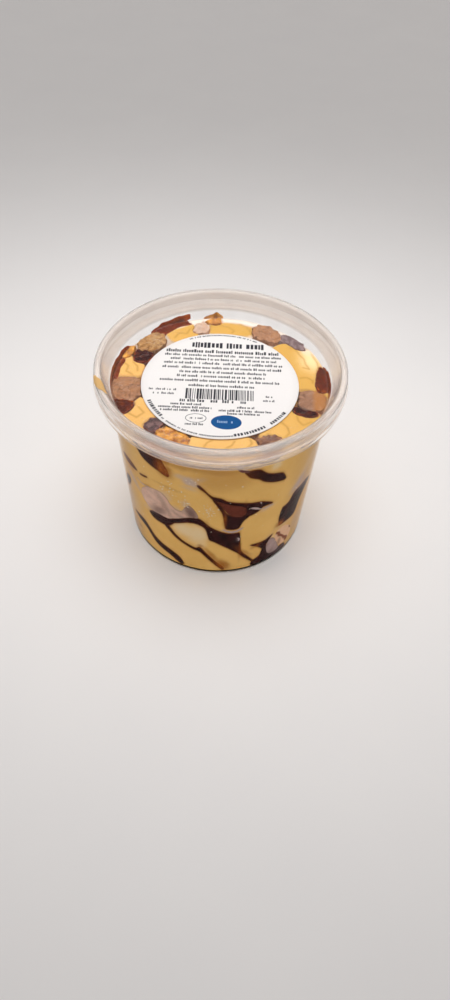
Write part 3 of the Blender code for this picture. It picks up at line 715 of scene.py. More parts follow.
def clear_plastic(name, specular, roughness, clarity, ior, tint):
    """Clear moulded plastic that lets lamp light through to what it holds."""
    mat, shader = new_material(name, roughness, specular)
    smear = stretch_range(mat, texture(mat, 9.0, 4.0), 0.35, 0.75)
    wear = texture(mat, 5.0, 5.0)
    set_inputs(mat, shader, {
        "Transmission Weight": clarity,
        "IOR": ior,
        "Base Color": blend(mat, smear, tint, tuple(channel * 0.97 for channel in tint)),
        "Roughness": stretch_range(mat, wear, 0.3, 0.8, roughness * 0.6, roughness * 1.5),
    })
    relief(mat, shader, texture(mat, 6.0, 2.0), 0.03)
    mixer = new_node(mat, "MixShader", {
        "Fac": new_node(mat, "LightPath", {}).outputs["Is Shadow Ray"],
        1: shader.outputs["BSDF"],
        2: new_node(mat, "BsdfTransparent", {}).outputs["BSDF"],
    })
    link(mat, mixer.outputs["Shader"], mat.node_tree.nodes["Material Output"].inputs["Surface"])
    return mat


def gelato_material():
    """Caramel gelato: soft mottling, amber stain, pale folds and frost, with painted shade on the top, along
    the creases, in the gaps between folds and on the sides, and a painted shadow under the flange, all from the
    mesh's values.
    """
    mat, shader = new_material("gelato", 0.5, 0.04)
    mottle = stretch_range(mat, texture(mat, 14.0, 3.0), 0.3, 0.7)
    colour = blend(mat, mottle, (0.85, 0.49, 0.135), (0.92, 0.555, 0.165))
    fine = stretch_range(mat, texture(mat, 1.6, 4.0), 0.35, 0.75)
    colour = blend(mat, multiplied(mat, fine, 0.2), colour, (0.94, 0.66, 0.27))
    # Painted shade: the whole top under the lid takes a darker copy of the gelato's colour
    shaded_top_colour = blend(mat, mottle, (0.68, 0.385, 0.118), (0.74, 0.435, 0.145))
    # tan is painted shade on the top, stronger towards the right and the back
    colour = stained(mat, colour, under_lid=shaded_top_colour, tan=(0.58, 0.33, 0.075), cream=(0.92, 0.68, 0.38),
                     amber=(0.36, 0.10, 0.012), frost=(0.62, 0.48, 0.44))
    # Painted shade along the creases in the folds
    colour = blend(mat, multiplied(mat, value_of(mat, "crease_shade"), 0.7), colour, (0.40, 0.21, 0.035))
    # The first colour is painted shade in the gaps between the folds at the front and on the sides of the wall
    colour = stained(mat, colour, dark_gap=(0.27, 0.095, 0.03), pale_gap=(0.74, 0.66, 0.60))
    return coloured(mat, shader, colour, 0.9, 4.0, 0.06)


def sauce_material(name, thin, orange, red):
    """Chocolate sauce: near black where it is thick, red and orange where it thins out."""
    mat, shader = new_material(name, 0.35, 0.03)
    thick = stretch_range(mat, value_of(mat, "inside"), 0.0, 0.9)
    streaks = stretch_range(mat, texture(mat, 3.0, 3.0), 0.35, 0.7)
    body = blend(mat, streaks, (0.014, 0.0025, 0.003), (0.05, 0.010, 0.010))
    colour = stained(mat, blend(mat, thick, thin, body), amber=blend(mat, streaks, orange, red),
                     frost=(0.24, 0.17, 0.17))
    return coloured(mat, shader, colour, 2.2, 3.0, 0.08)


def brownie_material(name, dark, light, bloom, bloom_share, grain, cracked):
    """Cake crumb with dark cracks, and paler bloom where frost touches it."""
    mat, shader = new_material(name, 0.7, 0.04)
    crumb = stretch_range(mat, texture(mat, grain, 5.0), 0.35, 0.68)
    colour = blend(mat, crumb, dark, light)
    patches = stretch_range(mat, texture(mat, 5.5, 3.0), 0.5 - bloom_share / 3, 0.85 - bloom_share / 3)
    colour = blend(mat, multiplied(mat, patches, bloom_share), colour, bloom)
    rising = stretch_range(mat, texture(mat, 7.0, 2.0), 0.485, 0.5)
    falling = stretch_range(mat, texture(mat, 7.0, 2.0), 0.515, 0.5)
    crack = multiplied(mat, multiplied(mat, rising, falling), cracked)
    colour = blend(mat, crack, colour, tuple(channel * 0.35 for channel in dark))
    edge = stretch_range(mat, value_of(mat, "inside"), 0.0, 0.7, 0.5, 0.0)
    colour = blend(mat, edge, colour, tuple(channel * 0.4 for channel in dark))
    colour = stained(mat, colour, orange=(0.50, 0.20, 0.04), shade=(0.12, 0.065, 0.06))
    return coloured(mat, shader, colour, 0.7, 5.0, 0.25)


def nut_material():
    """Nut pieces: tan flesh with curved brown skin lines."""
    mat, shader = new_material("nut", 0.5, 0.04)
    place = new_node(mat, "TexCoord", {})
    wave = new_node(mat, "TexWave", {"Vector": place.outputs["Object"], "Scale": 48, "Distortion": 7.0,
                                     "Detail": 2.0, "Detail Scale": 1.2})
    wave.bands_direction = "DIAGONAL"
    flesh = blend(mat, texture(mat, 2.5), (0.76, 0.42, 0.23), (0.92, 0.60, 0.38))
    skin = stretch_range(mat, wave.outputs["Fac"], 0.72, 0.95)
    colour = stained(mat, blend(mat, skin, flesh, (0.26, 0.07, 0.03)), shade=(0.10, 0.02, 0.02))
    set_inputs(mat, shader, {"Base Color": colour})
    relief(mat, shader, wave.outputs["Fac"], 0.3)
    return mat


def caramel_material():
    """Glossy amber caramel with paler and darker parts."""
    mat, shader = new_material("caramel", 0.22, 0.5)
    lumps = stretch_range(mat, texture(mat, 3.0, 4.0), 0.35, 0.68)
    set_inputs(mat, shader, {"Subsurface Weight": 0.2, "Subsurface Radius": (0.004, 0.0015, 0.0005)})
    return coloured(mat, shader, blend(mat, lumps, (0.26, 0.075, 0.008), (0.72, 0.33, 0.045)), 1.8, 4.0, 0.4)


def frost_material(name, low, high):
    """Thin frost: pale and slightly pink."""
    mat, shader = new_material(name, 0.6, 0.05)
    return coloured(mat, shader, blend(mat, texture(mat, 1.2, 3.0), low, high), 0.6, 3.0, 0.1)


def paper_material():
    """Smooth white label paper with faint fibres."""
    mat, shader = new_material("label_paper", 0.55, 0.3)
    fibres = texture(mat, 0.8, 4.0, (1, 3, 1))
    return coloured(mat, shader, blend(mat, fibres, (0.80, 0.765, 0.75), (0.86, 0.83, 0.815)), 0.5, 4.0, 0.02)


def ink_material(name, colour):
    """Print that covers unevenly."""
    mat, shader = new_material(name, 0.6, 0.05)
    faded = tuple(channel * 0.8 + 0.02 for channel in colour)
    set_inputs(mat, shader, {"Base Color": blend(mat, texture(mat, 1.0, 2.0), colour, faded)})
    return mat


def tub_parts(centres):
    """Which of the tub's plastics a face takes, from its centre: 0 the wall's, 1 the rim's, 2 the foot's."""
    height = centres[:, 2]
    outside = np.hypot(centres[:, 0], centres[:, 1]) > WALL_RADIUS + 0.3
    return np.where(height < PANEL_TOP, 2, (height > HAZE_HEIGHT) | ((height > FLANGE_HEIGHT) & outside))


def make_tub(mats):
    """The tapered tub with its foot ring, flange and rolled rim."""
    corner = (tub_outer(FOOT_CORNER) - FOOT_CORNER, FOOT_CORNER)
    inner_corner = FOOT_CORNER - TUB_WALL
    inner_centre = (tub_outer(PANEL_TOP + inner_corner) - TUB_WALL - inner_corner, PANEL_TOP + inner_corner)
    flange_under = FLANGE_HEIGHT + FLANGE_THICKNESS
    flange_top = flange_under + FLANGE_THICKNESS
    inner_radius = WALL_RADIUS - TUB_WALL
    slope = (RIM_RADIUS - RIM_ROLL - inner_radius) / (RIM_HEIGHT - FLANGE_HEIGHT)
    hook = RIM_HEIGHT - RIM_HOOK
    edge = FLANGE_THICKNESS / 2
    profile = [(0, PANEL_LIFT), (FOOT_RING[0] - PANEL_LIFT, PANEL_LIFT)]
    profile += arc((FOOT_RING[0] + 0.4, 0.4), 0.4, 180, 270, 3)
    profile += [(FOOT_RING[1], 0)]
    profile += arc(corner, FOOT_CORNER, -90, 0)
    profile += arc((WALL_RADIUS + FLANGE_THICKNESS, FLANGE_HEIGHT), FLANGE_THICKNESS, 180, 90, 4)
    profile += arc((FLANGE_RADIUS - 2 * edge - 0.4, flange_under - 0.4), 0.4, 90, 0, 4)
    profile += arc((FLANGE_RADIUS - edge, flange_under - FLANGE_LIP + edge / 2), edge / 2, 180, 360, 6)
    flange_corner = (FLANGE_RADIUS - FLANGE_THICKNESS, flange_top - FLANGE_THICKNESS)
    profile += arc(flange_corner, FLANGE_THICKNESS, 0, 90, 6)
    collar = WALL_RADIUS + slope * (flange_top - FLANGE_HEIGHT)
    profile += [(collar + 0.4, flange_top), (collar, flange_top + 0.4)]
    profile += [(WALL_RADIUS + slope * (hook - FLANGE_HEIGHT), hook), (RIM_RADIUS + 0.4, hook + 0.2)]
    profile += arc((RIM_RADIUS, RIM_HEIGHT), RIM_ROLL, -60, 180, 14)
    neck = (inner_radius, FLANGE_HEIGHT)
    profile += [between(profile[-1], neck, HAZE_HEIGHT), neck]
    profile += arc(inner_centre, inner_corner, 0, -90)
    profile += [(0, PANEL_TOP)]
    tub = add_piece("clear_tub", *revolve(profile, TURNED_SEGMENTS), mats, "clear_plastic", sharp=40,
                    split=tub_parts)
    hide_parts("tub")


def make_lid(mats):
    """The press-on lid: recessed floor, plug wall, bead over the rim, skirt and lip.

    The second plastic is the milky one of the part above the haze height.
    """
    floor_top = LID_FLOOR + LID_WALL
    fillet_centre = (LID_FLOOR_RADIUS, floor_top + LID_FILLET)
    bead_centre = (RIM_RADIUS, RIM_HEIGHT)
    profile = [(0, floor_top)]
    profile += arc(fillet_centre, LID_FILLET, -90, 0)
    profile += [between(profile[-1], (RIM_RADIUS - BEAD_RADIUS, RIM_HEIGHT), HAZE_HEIGHT)]
    profile += arc(bead_centre, BEAD_RADIUS, 180, 0, 20)
    profile += [(SKIRT_RADIUS, LIP_HEIGHT + 2 * LIP_HALF)]
    profile += [(SKIRT_RADIUS + LIP_HALF, LIP_HEIGHT + LIP_HALF)]
    profile += arc((LIP_RADIUS - LIP_HALF, LIP_HEIGHT), LIP_HALF, 90, -90, 8)
    profile += [(SKIRT_RADIUS - LID_WALL, LIP_HEIGHT - LIP_HALF)]
    profile += arc(bead_centre, RIM_ROLL + GAP, 0, 180, 16)
    foot = (LID_FLOOR_RADIUS + LID_FILLET + LID_WALL, floor_top + LID_FILLET)
    profile += [between(profile[-1], foot, HAZE_HEIGHT)]
    profile += arc(fillet_centre, LID_FILLET + LID_WALL, 0, -90)
    profile += [(0, LID_FLOOR)]
    lid = add_piece("clear_lid", *revolve(profile, TURNED_SEGMENTS), mats, "clear_plastic", sharp=40,
                    split=lambda centres: centres[:, 2] > HAZE_HEIGHT)
    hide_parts("lid")


def sampled(columns):
    """A ripple's stations, close together, with its corners eased and its ends rounded."""
    data = np.array(columns, float)
    count = int((data[-1, 0] - data[0, 0]) / STATION) + 1
    angle = np.linspace(data[0, 0], data[-1, 0], count)
    low, high = (np.interp(angle, data[:, 0], data[:, i]) for i in (1, 2))
    kernel = np.array([1, 2, 3, 2, 1]) / 9
    low, high = (np.convolve(np.pad(side, 2, mode="edge"), kernel, mode="valid") for side in (low, high))
    middle, half = (low + high) / 2, (high - low) / 2
    for end in (0, -1):
        reach = min(half[end], 1.2)
        away = np.abs(angle - angle[end]) * WALL_DEGREE
        half = half * np.sqrt(1 - np.clip(1 - away / reach, 0, 0.97) ** 2)
    return angle, middle - half, middle + half


def inside(shape, angle, height):
    """How far in mm each place is inside a ripple; less than 0 outside."""
    angles, low, high = shape
    middle = (angles[0] + angles[-1]) / 2
    turn = (angle - middle + 180) % 360 - 180 + middle
    lowest, highest = np.interp(turn, angles, low), np.interp(turn, angles, high)
    slope = np.gradient((low + high) / 2, angles * WALL_DEGREE)
    lean = np.sqrt(1 + np.interp(turn, angles, slope) ** 2)
    up = np.minimum(highest - height, height - lowest) / lean
    across = np.minimum(turn - angles[0], angles[-1] - turn) * WALL_DEGREE
    outside = -np.hypot(np.minimum(up, 0), np.minimum(across, 0))
    return np.where((up < 0) | (across < 0), outside, up)


def wall_spots(spots, angle, height):
    """The strongest of a list of soft spots at each place on the wall."""
    strongest = np.zeros(len(height))
    for centre, level, half_across, half_up, turn, strength in spots:
        across = ((angle - centre + 180) % 360 - 180) * WALL_DEGREE
        spot = soft_spot(*rotated(across, height - level, turn), half_across, half_up)
        strongest = np.maximum(strongest, strength * spot)
    return strongest


def wall_patch(shape, rows, depth, proud, rough=0.0, seed=0):
    """Points and faces of a closed piece in the wall, its front face a grid of stations and rows."""
    shares = (1 - np.cos(np.linspace(0, math.pi, rows))) / 2
    verts = []
    for angle, lowest, highest in zip(*shape):
        heights = lowest + (highest - lowest) * shares
        middle = (lowest + highest) / 2 - RIPPLE_DROP
        half = (highest - lowest) / 2 * RIPPLE_PINCH
        radii = np.append(skin_radius(heights, proud), skin_radius(np.array([middle, middle]), -depth))
        heights = np.append(heights, (middle + half, middle - half))
        verts += [turned_point(radius, angle, height) for radius, height in zip(radii, heights)]
    verts = np.array(verts)
    ring = rows + 2
    if rough:
        front = np.arange(len(verts)) % ring < rows
        push = 1 + front * fbm(verts, 1.6, seed) * rough / WALL_RADIUS
        verts[:, :2] *= push[:, None]
    return verts, tube_faces(len(shape[0]), ring)


def on_wall(verts):
    """Angle and height of points."""
    return np.degrees(np.arctan2(verts[:, 0], -verts[:, 1])), verts[:, 2]


def make_wall_sauce(mat):
    """The ripples of sauce in the wall; returns their shapes."""
    shapes = []
    for name, strips in WALL_SAUCE.items():
        parts = [sampled(columns) for columns in strips]
        shapes += parts
        verts, faces = joined([wall_patch(part, 15, RIPPLE_DEPTH, SAUCE_PROUD) for part in parts])
        place = on_wall(np.array(verts))
        values = {
            "inside": np.clip(np.max([inside(part, *place) for part in parts], axis=0), 0, 5),
            "amber": wall_spots(AMBER_AND_SHADOW_SPOTS, *place),
            "frost": wall_spots(FROST_SPOTS, *place),
        }
        piece = add_piece(name.replace("sauce", "ripple"), verts, faces, mat, "chocolate_sauce", values, 50)
        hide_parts(name)
    return shapes


def make_wall_chunks(chunks, mats, slot):
    """The chunks in the wall."""
    for i, (name, columns) in enumerate(chunks.items()):
        shape = sampled(columns)
        verts, faces = wall_patch(shape, 25, CHUNK_DEPTH, CHUNK_PROUD, 0.12, i)
        place = on_wall(verts)
        values = {"inside": np.clip(inside(shape, *place), 0, 5), "shade": wall_spots(SHADE_SPOTS, *place)}
        piece = add_piece("chunk_" + name, verts, faces, mats(name), slot, values, 60)
        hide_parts(name)


def closed_curve(points, steps):
    """A smooth closed curve through points in x and y, with a number of steps from each to the next."""
    result = []
    count = len(points)
    for i in range(count):
        a, b, c, d = (np.array(points[(i + k) % count], float) for k in (-1, 0, 1, 2))
        for step in range(steps):
            t = step / steps
            result.append(0.5 * (2 * b + (c - a) * t + (2 * a - 5 * b + 4 * c - d) * t ** 2
                                 + (3 * b - a - 3 * c + d) * t ** 3))
    return np.array(result)


def ragged(outline, rough, seed):
    """An outline with straight sides, eased corners and a broken edge."""
    corners = np.array(outline, float)
    sides = zip(corners, np.roll(corners, -1, axis=0))
    curve = np.array([a + (b - a) * step / 10 for a, b in sides for step in range(10)])
    for _ in range(3):
        curve = (np.roll(curve, 1, axis=0) + 2 * curve + np.roll(curve, -1, axis=0)) / 4
    flat = np.column_stack((curve, np.zeros(len(curve))))
    shift = np.column_stack((fbm(flat, 1.7, seed, 4), fbm(flat, 1.7, seed + 9, 4)))
    return curve + shift * rough


def lump(outline, depth, rough, seed):
    """Points, faces and distance from the edge of a piece under the lid, flat on top and narrow below."""
    curve = ragged(outline, 0.5 + rough * 1.4, seed)
    centre = curve.mean(axis=0)
    sizes = [(size, 0.0) for size in (0.1, 0.22, 0.34, 0.46, 0.58, 0.7, 0.8, 0.88)]
    sizes += [(0.94, 0.02), (0.98, 0.12), (1.0, 0.5), (1.0, 2.0), (0.74, depth)]
    verts = [(*centre, LUMP_TOP)]
    reach = np.hypot(*(curve - centre).T).mean()
    edge = [reach]
    for size, drop in sizes:
        ring = centre + (curve - centre) * size
        verts += [(x, y, LUMP_TOP - drop) for x, y in ring]
        edge += [reach * (1 - size)] * len(ring)
    verts = np.array(verts + [(*centre, LUMP_TOP - depth)])
    if rough:
        verts[:, 2] += np.minimum(fbm(verts, 2.0, seed, 4) * rough * 1.5 - rough * 0.3, 0)
        swell = fbm(verts, 3.0, seed + 50, 4) * rough * 1.6
        away = verts[:, :2] - centre
        far = np.hypot(*away.T)
        verts[:, :2] += away / np.maximum(far, 1)[:, None] * (swell * far / reach)[:, None]
    return verts, dome_faces(len(curve), len(sizes), 1, 0, len(verts) - 1), np.array(edge + [0])


def make_top_pieces(outlines, depth, rough, mats, slot, prefix):
    """The pieces that show through the lid."""
    for i, (name, outline) in enumerate(outlines.items()):
        verts, faces, edge = lump(outline, depth, rough, i + 3)
        amber, frost = TOP_STAINS.get(name, (0.0, 0.1))
        patches = np.clip(fbm(verts, 2.6, i + 70) * 1.6, 0, 0.7)
        orange = np.clip((verts[:, 0] - 43.2) / 2, 0, 0.9) if name == "brownie_top_4" else patches * 0.3
        rind = np.clip(0.75 - edge * 0.9, 0, 1) * (patches + 0.3)
        values = {
            "inside": edge + 0.5,
            "amber": np.clip(amber + patches * 0.25 + rind, 0, 1),
            "frost": frost * (0.6 + patches),
            "shade": np.full(len(verts), TOP_SHADE.get(name, 0.0)),
            "orange": orange,
        }
        piece = add_piece(prefix + name, verts, faces, mats(name), slot, values, 60)
        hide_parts(name)


def make_smears(sauce, caramel):
    """Thin smears pushed up between the lid and the wall of the tub, and under the flange."""
    for i, (name, columns) in enumerate(SMEARS.items()):
        angles, low, high = sampled(columns)
        place = np.column_stack((angles, low, high)) * (WALL_DEGREE, 1, 1)
        thick = high - low
        low = low + fbm(place, 3.4, i + 30, 4) * SMEAR_RAGGED[0] * thick
        high = high + fbm(place, 5.0, i + 40, 2) * SMEAR_RAGGED[1] * thick
        shape = (angles, low, np.minimum(high, SMEAR_TOP))
        verts, faces = wall_patch(shape, 9, SMEAR_DEPTH, SMEAR_PROUD, 0.1, i + 20)
        edge = np.clip(inside(shape, *on_wall(verts)), 0, 5)
        amber = np.clip(0.9 - edge * 0.9, 0.1, 1)
        dull = name in DULL_SMEARS
        values = {
            "inside": edge,
            "amber": amber * (DULL_AMBER if dull else 1),
            "frost": np.full(len(verts), DULL_FROST if dull else 0.0),
        }
        mat, slot = (caramel, "caramel") if name.startswith("caramel") else (sauce, "chocolate_sauce")
        add_piece(name, verts, faces, mat, slot, values, 50)


def lid_spot(spot, x, y):
    """A soft spot under the lid at each place."""
    centre_x, centre_y, half_x, half_y, strength = spot
    return strength * soft_spot(x - centre_x, y - centre_y, half_x, half_y)


def valley(x, y):
    """How far the gelato lies under the lid: nothing on a flattened fold, more between folds."""
    away = np.maximum(0.0, np.hypot(x, y) - LABEL_COVER)
    for centre_x, centre_y, half_x, half_y, turn in FOLDS:
        across, along = rotated(x - centre_x, y - centre_y, turn)
        share = np.abs(across / half_x) ** FOLD_POWER + np.abs(along / half_y) ** FOLD_POWER
        away = np.minimum(away, np.maximum(0.0, share ** (1 / FOLD_POWER) - 1) * min(half_x, half_y))
    return VALLEY_DEPTH * eased(np.minimum(1.0, away / VALLEY_WIDTH))


def depth_inside(x, y, outline):
    """How far in mm each place is inside an outline; less than 0 outside."""
    curve = closed_curve(outline, 4)
    near = np.full(len(x), 99.0)
    within = np.zeros(len(x), bool)
    for (x0, y0), (x1, y1) in zip(curve, np.roll(curve, -1, axis=0)):
        near = np.minimum(near, segment_distance(x, y, (x0, y0), (x1, y1)))
        level = np.inf if y1 == y0 else (x1 - x0) / (y1 - y0)
        within ^= ((y0 > y) != (y1 > y)) & (x < x0 + (y - y0) * level)
    return np.where(within, near, -near)


def creased(x, y):
    """How strongly the painted shade along the creases in the folds shows at each place under the lid."""
    near = np.full(len(x), 99.0)
    for line in CREASES:
        for start, end in zip(line, line[1:]):
            near = np.minimum(near, segment_distance(x, y, start, end))
    return np.exp(-(near / CREASE_WIDTH) ** 2)


def make_gelato(mat, ripples):
    """The gelato that fills the tub, squeezed against the wall and the lid."""
    inner_corner = FOOT_CORNER - TUB_WALL
    bottom = PANEL_TOP - CONTACT
    top = LID_FLOOR + CONTACT
    shoulder = top - SHOULDER
    foot = skin_radius(PANEL_TOP, CONTACT)
    profile = [(radius, bottom) for radius in (0, 20, 40, foot)]
    heights = [PANEL_TOP + inner_corner * (1 - math.cos(math.radians(a))) for a in (20, 40, 60, 80)]
    rows = int((shoulder - PANEL_TOP - inner_corner) / FOOD_ROW)
    heights += list(np.linspace(PANEL_TOP + inner_corner, shoulder, rows))
    profile += [(float(skin_radius(height, CONTACT)), height) for height in heights]
    rim = float(skin_radius(shoulder, CONTACT))
    profile += arc((rim - SHOULDER, shoulder), SHOULDER, 12, 90, 6)
    rings = np.arange(rim - SHOULDER - TOP_ROW, FLAT_RADIUS, -TOP_ROW)
    profile += [(radius, top) for radius in (*rings, 28, 20, 10, 0)]
    verts, faces = revolve(profile, FOOD_SEGMENTS)
    angle, height = on_wall(verts)
    x, y = verts[:, 0].copy(), verts[:, 1].copy()
    radius = np.hypot(x, y)
    above = height > shoulder + 0.1
    wobble = fbm(verts, 6.0, 1) * 0.9
    sink = np.where(above, valley(x + wobble, y - wobble), 0)
    pocket = np.zeros(len(verts))
    for outline in [*TOP_BROWNIES.values(), *TOP_CARAMEL.values(), *TOP_SAUCE.values()]:
        share = np.clip(depth_inside(x, y, outline) / POCKET_EDGE + 0.4, 0, 1)
        pocket = np.maximum(pocket, eased(share))
    sink += np.where(sink > 0.4, (fbm(verts, 1.5, 2) + 1) * TOP_ROUGHNESS, 0)
    hollow = np.clip(sink - CONTACT, 0, 1)
    behind = np.clip((y - BACK_START + wobble * 2) / BACK_FADE, 0, 1)
    shoulder_edge = np.clip((radius - EDGE_START + wobble) / EDGE_FADE, 0, 1) * above
    sink *= 1 - EDGE_FILLED * shoulder_edge * behind
    skin = np.clip((height - SKIN_START + wobble) / SKIN_FADE, 0, 1) * (radius > FOOT_RADIUS)
    verts[:, 2] -= np.maximum(sink, pocket * POCKET_DEPTH * above)
    turn = angle + fbm(verts, 5.0, 3)
    level = height + fbm(verts, 4.0, 4) * 0.8
    # amber on the gelato also holds a painted shadow under the flange at the front
    amber = wall_spots(AMBER_AND_SHADOW_SPOTS, turn, level)
    for shape in ripples:
        away = np.maximum(0, -inside(shape, angle, height))
        amber = np.maximum(amber, HALO * np.exp(-away / HALO_REACH))
    on_side = (height < shoulder + 1) & (radius > FOOT_RADIUS - 6)
    pale = np.maximum.reduce((hollow, shoulder_edge, skin)) * behind
    pale_right = lid_spot(PALE_SPOT, x + wobble, y)
    smudge = lid_spot(FROST_SMUDGE, x, y + wobble)
    side_shade = SIDE_SHADE * np.exp(-((np.abs(angle) - SIDE_ANGLE) / SIDE_FADE) ** 2) * on_side
    values = {
        "amber": np.where(on_side, amber, 0.0),
        "cream": np.where(on_side, wall_spots(CREAM_SPOTS, turn, level), pale_right * above),
        "frost": np.where(on_side, wall_spots(FROST_SPOTS, turn, level), smudge * above),
        # painted shade along the creases in the folds
        "crease_shade": creased(x, y) * above,
        # painted shade on the top, stronger towards the right and the back
        "tan": np.clip(0.55 + (x + y) / 60, 0.0, 1) * above,
        # painted shade over the whole top under the lid
        "under_lid": above.astype(float),
        # painted shade in the gaps between the folds at the front, and on the sides of the wall
        "dark_gap": np.maximum(hollow * (1 - behind) * 0.9, side_shade),
        "pale_gap": pale * 0.9,
    }
    body = add_piece("gelato_body", verts, faces, mat, "gelato", values)
    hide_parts("gelato")


def make_label(mat):
    """The round paper label on the floor of the lid; returns the middle of its face."""
    low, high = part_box("label")
    centre = (low + high) / 2 / MM
    radius, top = (high.x - low.x) / 2 / MM, high.z / MM
    under = LID_FLOOR + LID_WALL + 0.02
    profile = [(0, under), (radius - 0.1, under), (radius, under + 0.1), (radius, top - 0.08)]
    profile += [(radius - 0.08, top)] + [(radius * share, top) for share in (0.9, 0.6, 0.3, 0)]
    verts, faces = revolve(profile, TURNED_SEGMENTS)
    label = add_piece("label_disc", verts + (centre.x, centre.y, 0), faces, mat, "label_paper", sharp=50)
    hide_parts("label")
    return centre.x, centre.y, top


def print_box(blocks, x, y, width, height, turn=0.0):
    """Adds one printed block, centred at x and y and turned by degrees."""
    corners = [rotated(a * width / 2, b * height / 2, -turn) for a, b in ((-1, -1), (1, -1), (1, 1), (-1, 1))]
    blocks.append([(x + across, y + up) for across, up in corners])


def print_row(blocks, rng, y, start, end, size, fill=0.8):
    """A row of small blocks in groups, like text seen from too far to read."""
    x = start
    while x < end:
        for _ in range(rng.randint(2, 9)):
            width = size * rng.uniform(0.3, 0.62)
            tall = size * rng.choice((0.84, 0.84, 0.92, 1.2))
            if x + width > end:
                break
            if rng.random() < fill + 0.15:
                print_box(blocks, x + width / 2, y + (tall - size * 0.84) / 2, width * 0.86, tall)
            x += width + size * 0.1
        x += size * 0.42


def print_arc(blocks, rng, radius, start, end, size):
    """A curved row of small blocks; angles in degrees from the front to the right."""
    angle = start
    step = math.degrees(1 / radius)
    while angle < end:
        width = size * rng.uniform(0.35, 0.7)
        if rng.random() < 0.85:
            print_box(blocks, *turned_point(radius, angle, 0)[:2], width, size, angle)
        angle += (width + size * 0.3) * step


def print_oval(blocks, x, y, half_width, half_height, line):
    """An outlined oval made of short strokes."""
    for i in range(OVAL_STROKES):
        turn = math.tau * (i + 0.5) / OVAL_STROKES
        cos, sin = math.cos(turn), math.sin(turn)
        slope = math.degrees(math.atan2(half_height * cos, -half_width * sin))
        length = math.tau / OVAL_STROKES * math.hypot(half_width * sin, half_height * cos)
        print_box(blocks, x + half_width * cos, y + half_height * sin, length * 1.1, line, slope)


def print_piece(colour_name, blocks, colour, place, lift=0.0):
    """Joins printed blocks into one piece that lies across the label's face."""
    bottom, top = place[2] - PRINT_SINK + lift, place[2] + PRINT_LIFT + lift
    parts = []
    for outline in blocks:
        count = len(outline)
        verts = [(x + place[0], y + place[1], z) for z in (bottom, top) for x, y in outline]
        faces = [tuple(range(count, 2 * count)), tuple(reversed(range(count)))]
        faces += [(i, (i + 1) % count, count + (i + 1) % count, count + i) for i in range(count)]
        parts.append((verts, faces))
    ink = ink_material("ink_" + colour_name, colour)
    add_piece("print_" + colour_name, *joined(parts), ink, "label_paper", sharp=30)


def make_print(place):
    """Rows, bars, an outlined oval and a blue oval, none of which can be read."""
    rng = random.Random(7)
    black, grey, pale = [], [], []
    x = -15.0
    while x < 20:
        width = rng.uniform(0.9, 2.1)
        print_box(black, x + width / 2, 28.0, width * 0.9, rng.choice((3.4, 3.6, 4.2)))
        x += width + rng.uniform(0.25, 0.5)
        x += rng.choice((0, 0, 0, 0, 0, 1.6))
    print_row(black, rng, 22.8, -27.5, 29.0, 2.0, 1.0)
    for y, start, end in ((19.8, -28, 30), (16.8, -25, 27), (13.7, -28, 30), (10.4, -28.5, 30),
                          (7.2, -20, 22), (4.1, -21, 22), (0.9, -29, 29), (-2.6, -15, 17)):
        print_row(grey, rng, y, start, end, 1.45)
    for y, start, end in ((-6.2, -33.5, -20.5), (-9.0, -33.5, -21), (-8.8, 20.5, 26.5), (-11.6, 20.5, 26.0)):
        print_row(grey, rng, y, start, end, 1.2, 0.45)
    x = -16.0
    while x < 16:
        width = rng.choice((0.33, 0.33, 0.66, 1.0))
        print_box(black, x + width / 2, -8.4, width, 7.2)
        x += width + rng.choice((0.33, 0.33, 0.66))
    print_row(grey, rng, -13.3, -18.5, 15.5, 1.9, 0.6)
    for y, start, end in ((-15.9, -22.5, -8), (-18.1, -28, -3), (-20.1, -27, -4), (-16.9, 8.5, 17),
                          (-19.3, 0, 25), (-21.2, 4, 20)):
        print_row(black, rng, y, start, end, 1.25)
    print_arc(grey, rng, 36.2, 152, 208, 0.9)
    print_arc(black, rng, 35.6, -66, -46, 1.7)
    print_arc(grey, rng, 36.2, -45, 12, 0.9)
    print_arc(black, rng, 35.8, 13, 60, 1.6)
    print_oval(grey, -10.2, -24.9, 4.7, 2.8, 0.28)
    print_row(grey, rng, -25.0, -13.6, -6.8, 1.1, 0.5)
    print_row(grey, rng, -29.0, -15.0, -6.0, 1.2)
    oval = [(3.8 + 7.0 * math.cos(t), -26.9 + 4.6 * math.sin(t)) for t in np.linspace(0, math.tau, 64)[:-1]]
    print_row(pale, rng, -26.8, -0.4, 8.0, 1.5, 0.7)
    print_piece("black", black, (0.035, 0.035, 0.045), place)
    print_piece("grey", grey, (0.06, 0.06, 0.07), place)
    print_piece("blue", [oval], (0.004, 0.085, 0.27), place)
    print_piece("pale", pale, (0.28, 0.42, 0.65), place, PRINT_LIFT)


def frost_point(angle, height, lift=0.0):
    """A point of the frost on the wall; lift is how much further into the plastic it is."""
    return turned_point(float(skin_radius(height, FROST_PROUD + lift)), angle, height)


def ribbon(points, width, rng):
    """Points and faces of a thin uneven streak on the wall through places of (angle, height)."""
    path = np.array(points, float)
    steps = np.linspace(0, len(path) - 1, 10 * len(path))
    sides = [np.interp(steps, range(len(path)), path[:, i]) for i in (0, 1)]
    flat = np.column_stack(sides) * (WALL_DEGREE, 1)
    ahead = np.gradient(flat, axis=0)
    ahead /= np.hypot(*ahead.T)[:, None]
    side = np.column_stack((-ahead[:, 1], ahead[:, 0]))
    share = np.linspace(0, 1, len(flat))
    widths = width * np.sqrt(np.sin(math.pi * np.clip(share, 0.02, 0.98)))
    widths = widths * np.array([rng.uniform(0.5, 1.2) for _ in widths])
    section = ((-0.5, 0), (-0.2, 0.06), (0.2, 0.06), (0.5, 0), (0, -0.3))
    verts = []
    for place, out, wide in zip(flat, side, widths):
        for offset, lift in section:
            across, height = place + out * wide * offset
            verts.append(frost_point(across / WALL_DEGREE, height, lift))
    return verts, tube_faces(len(flat), len(section))


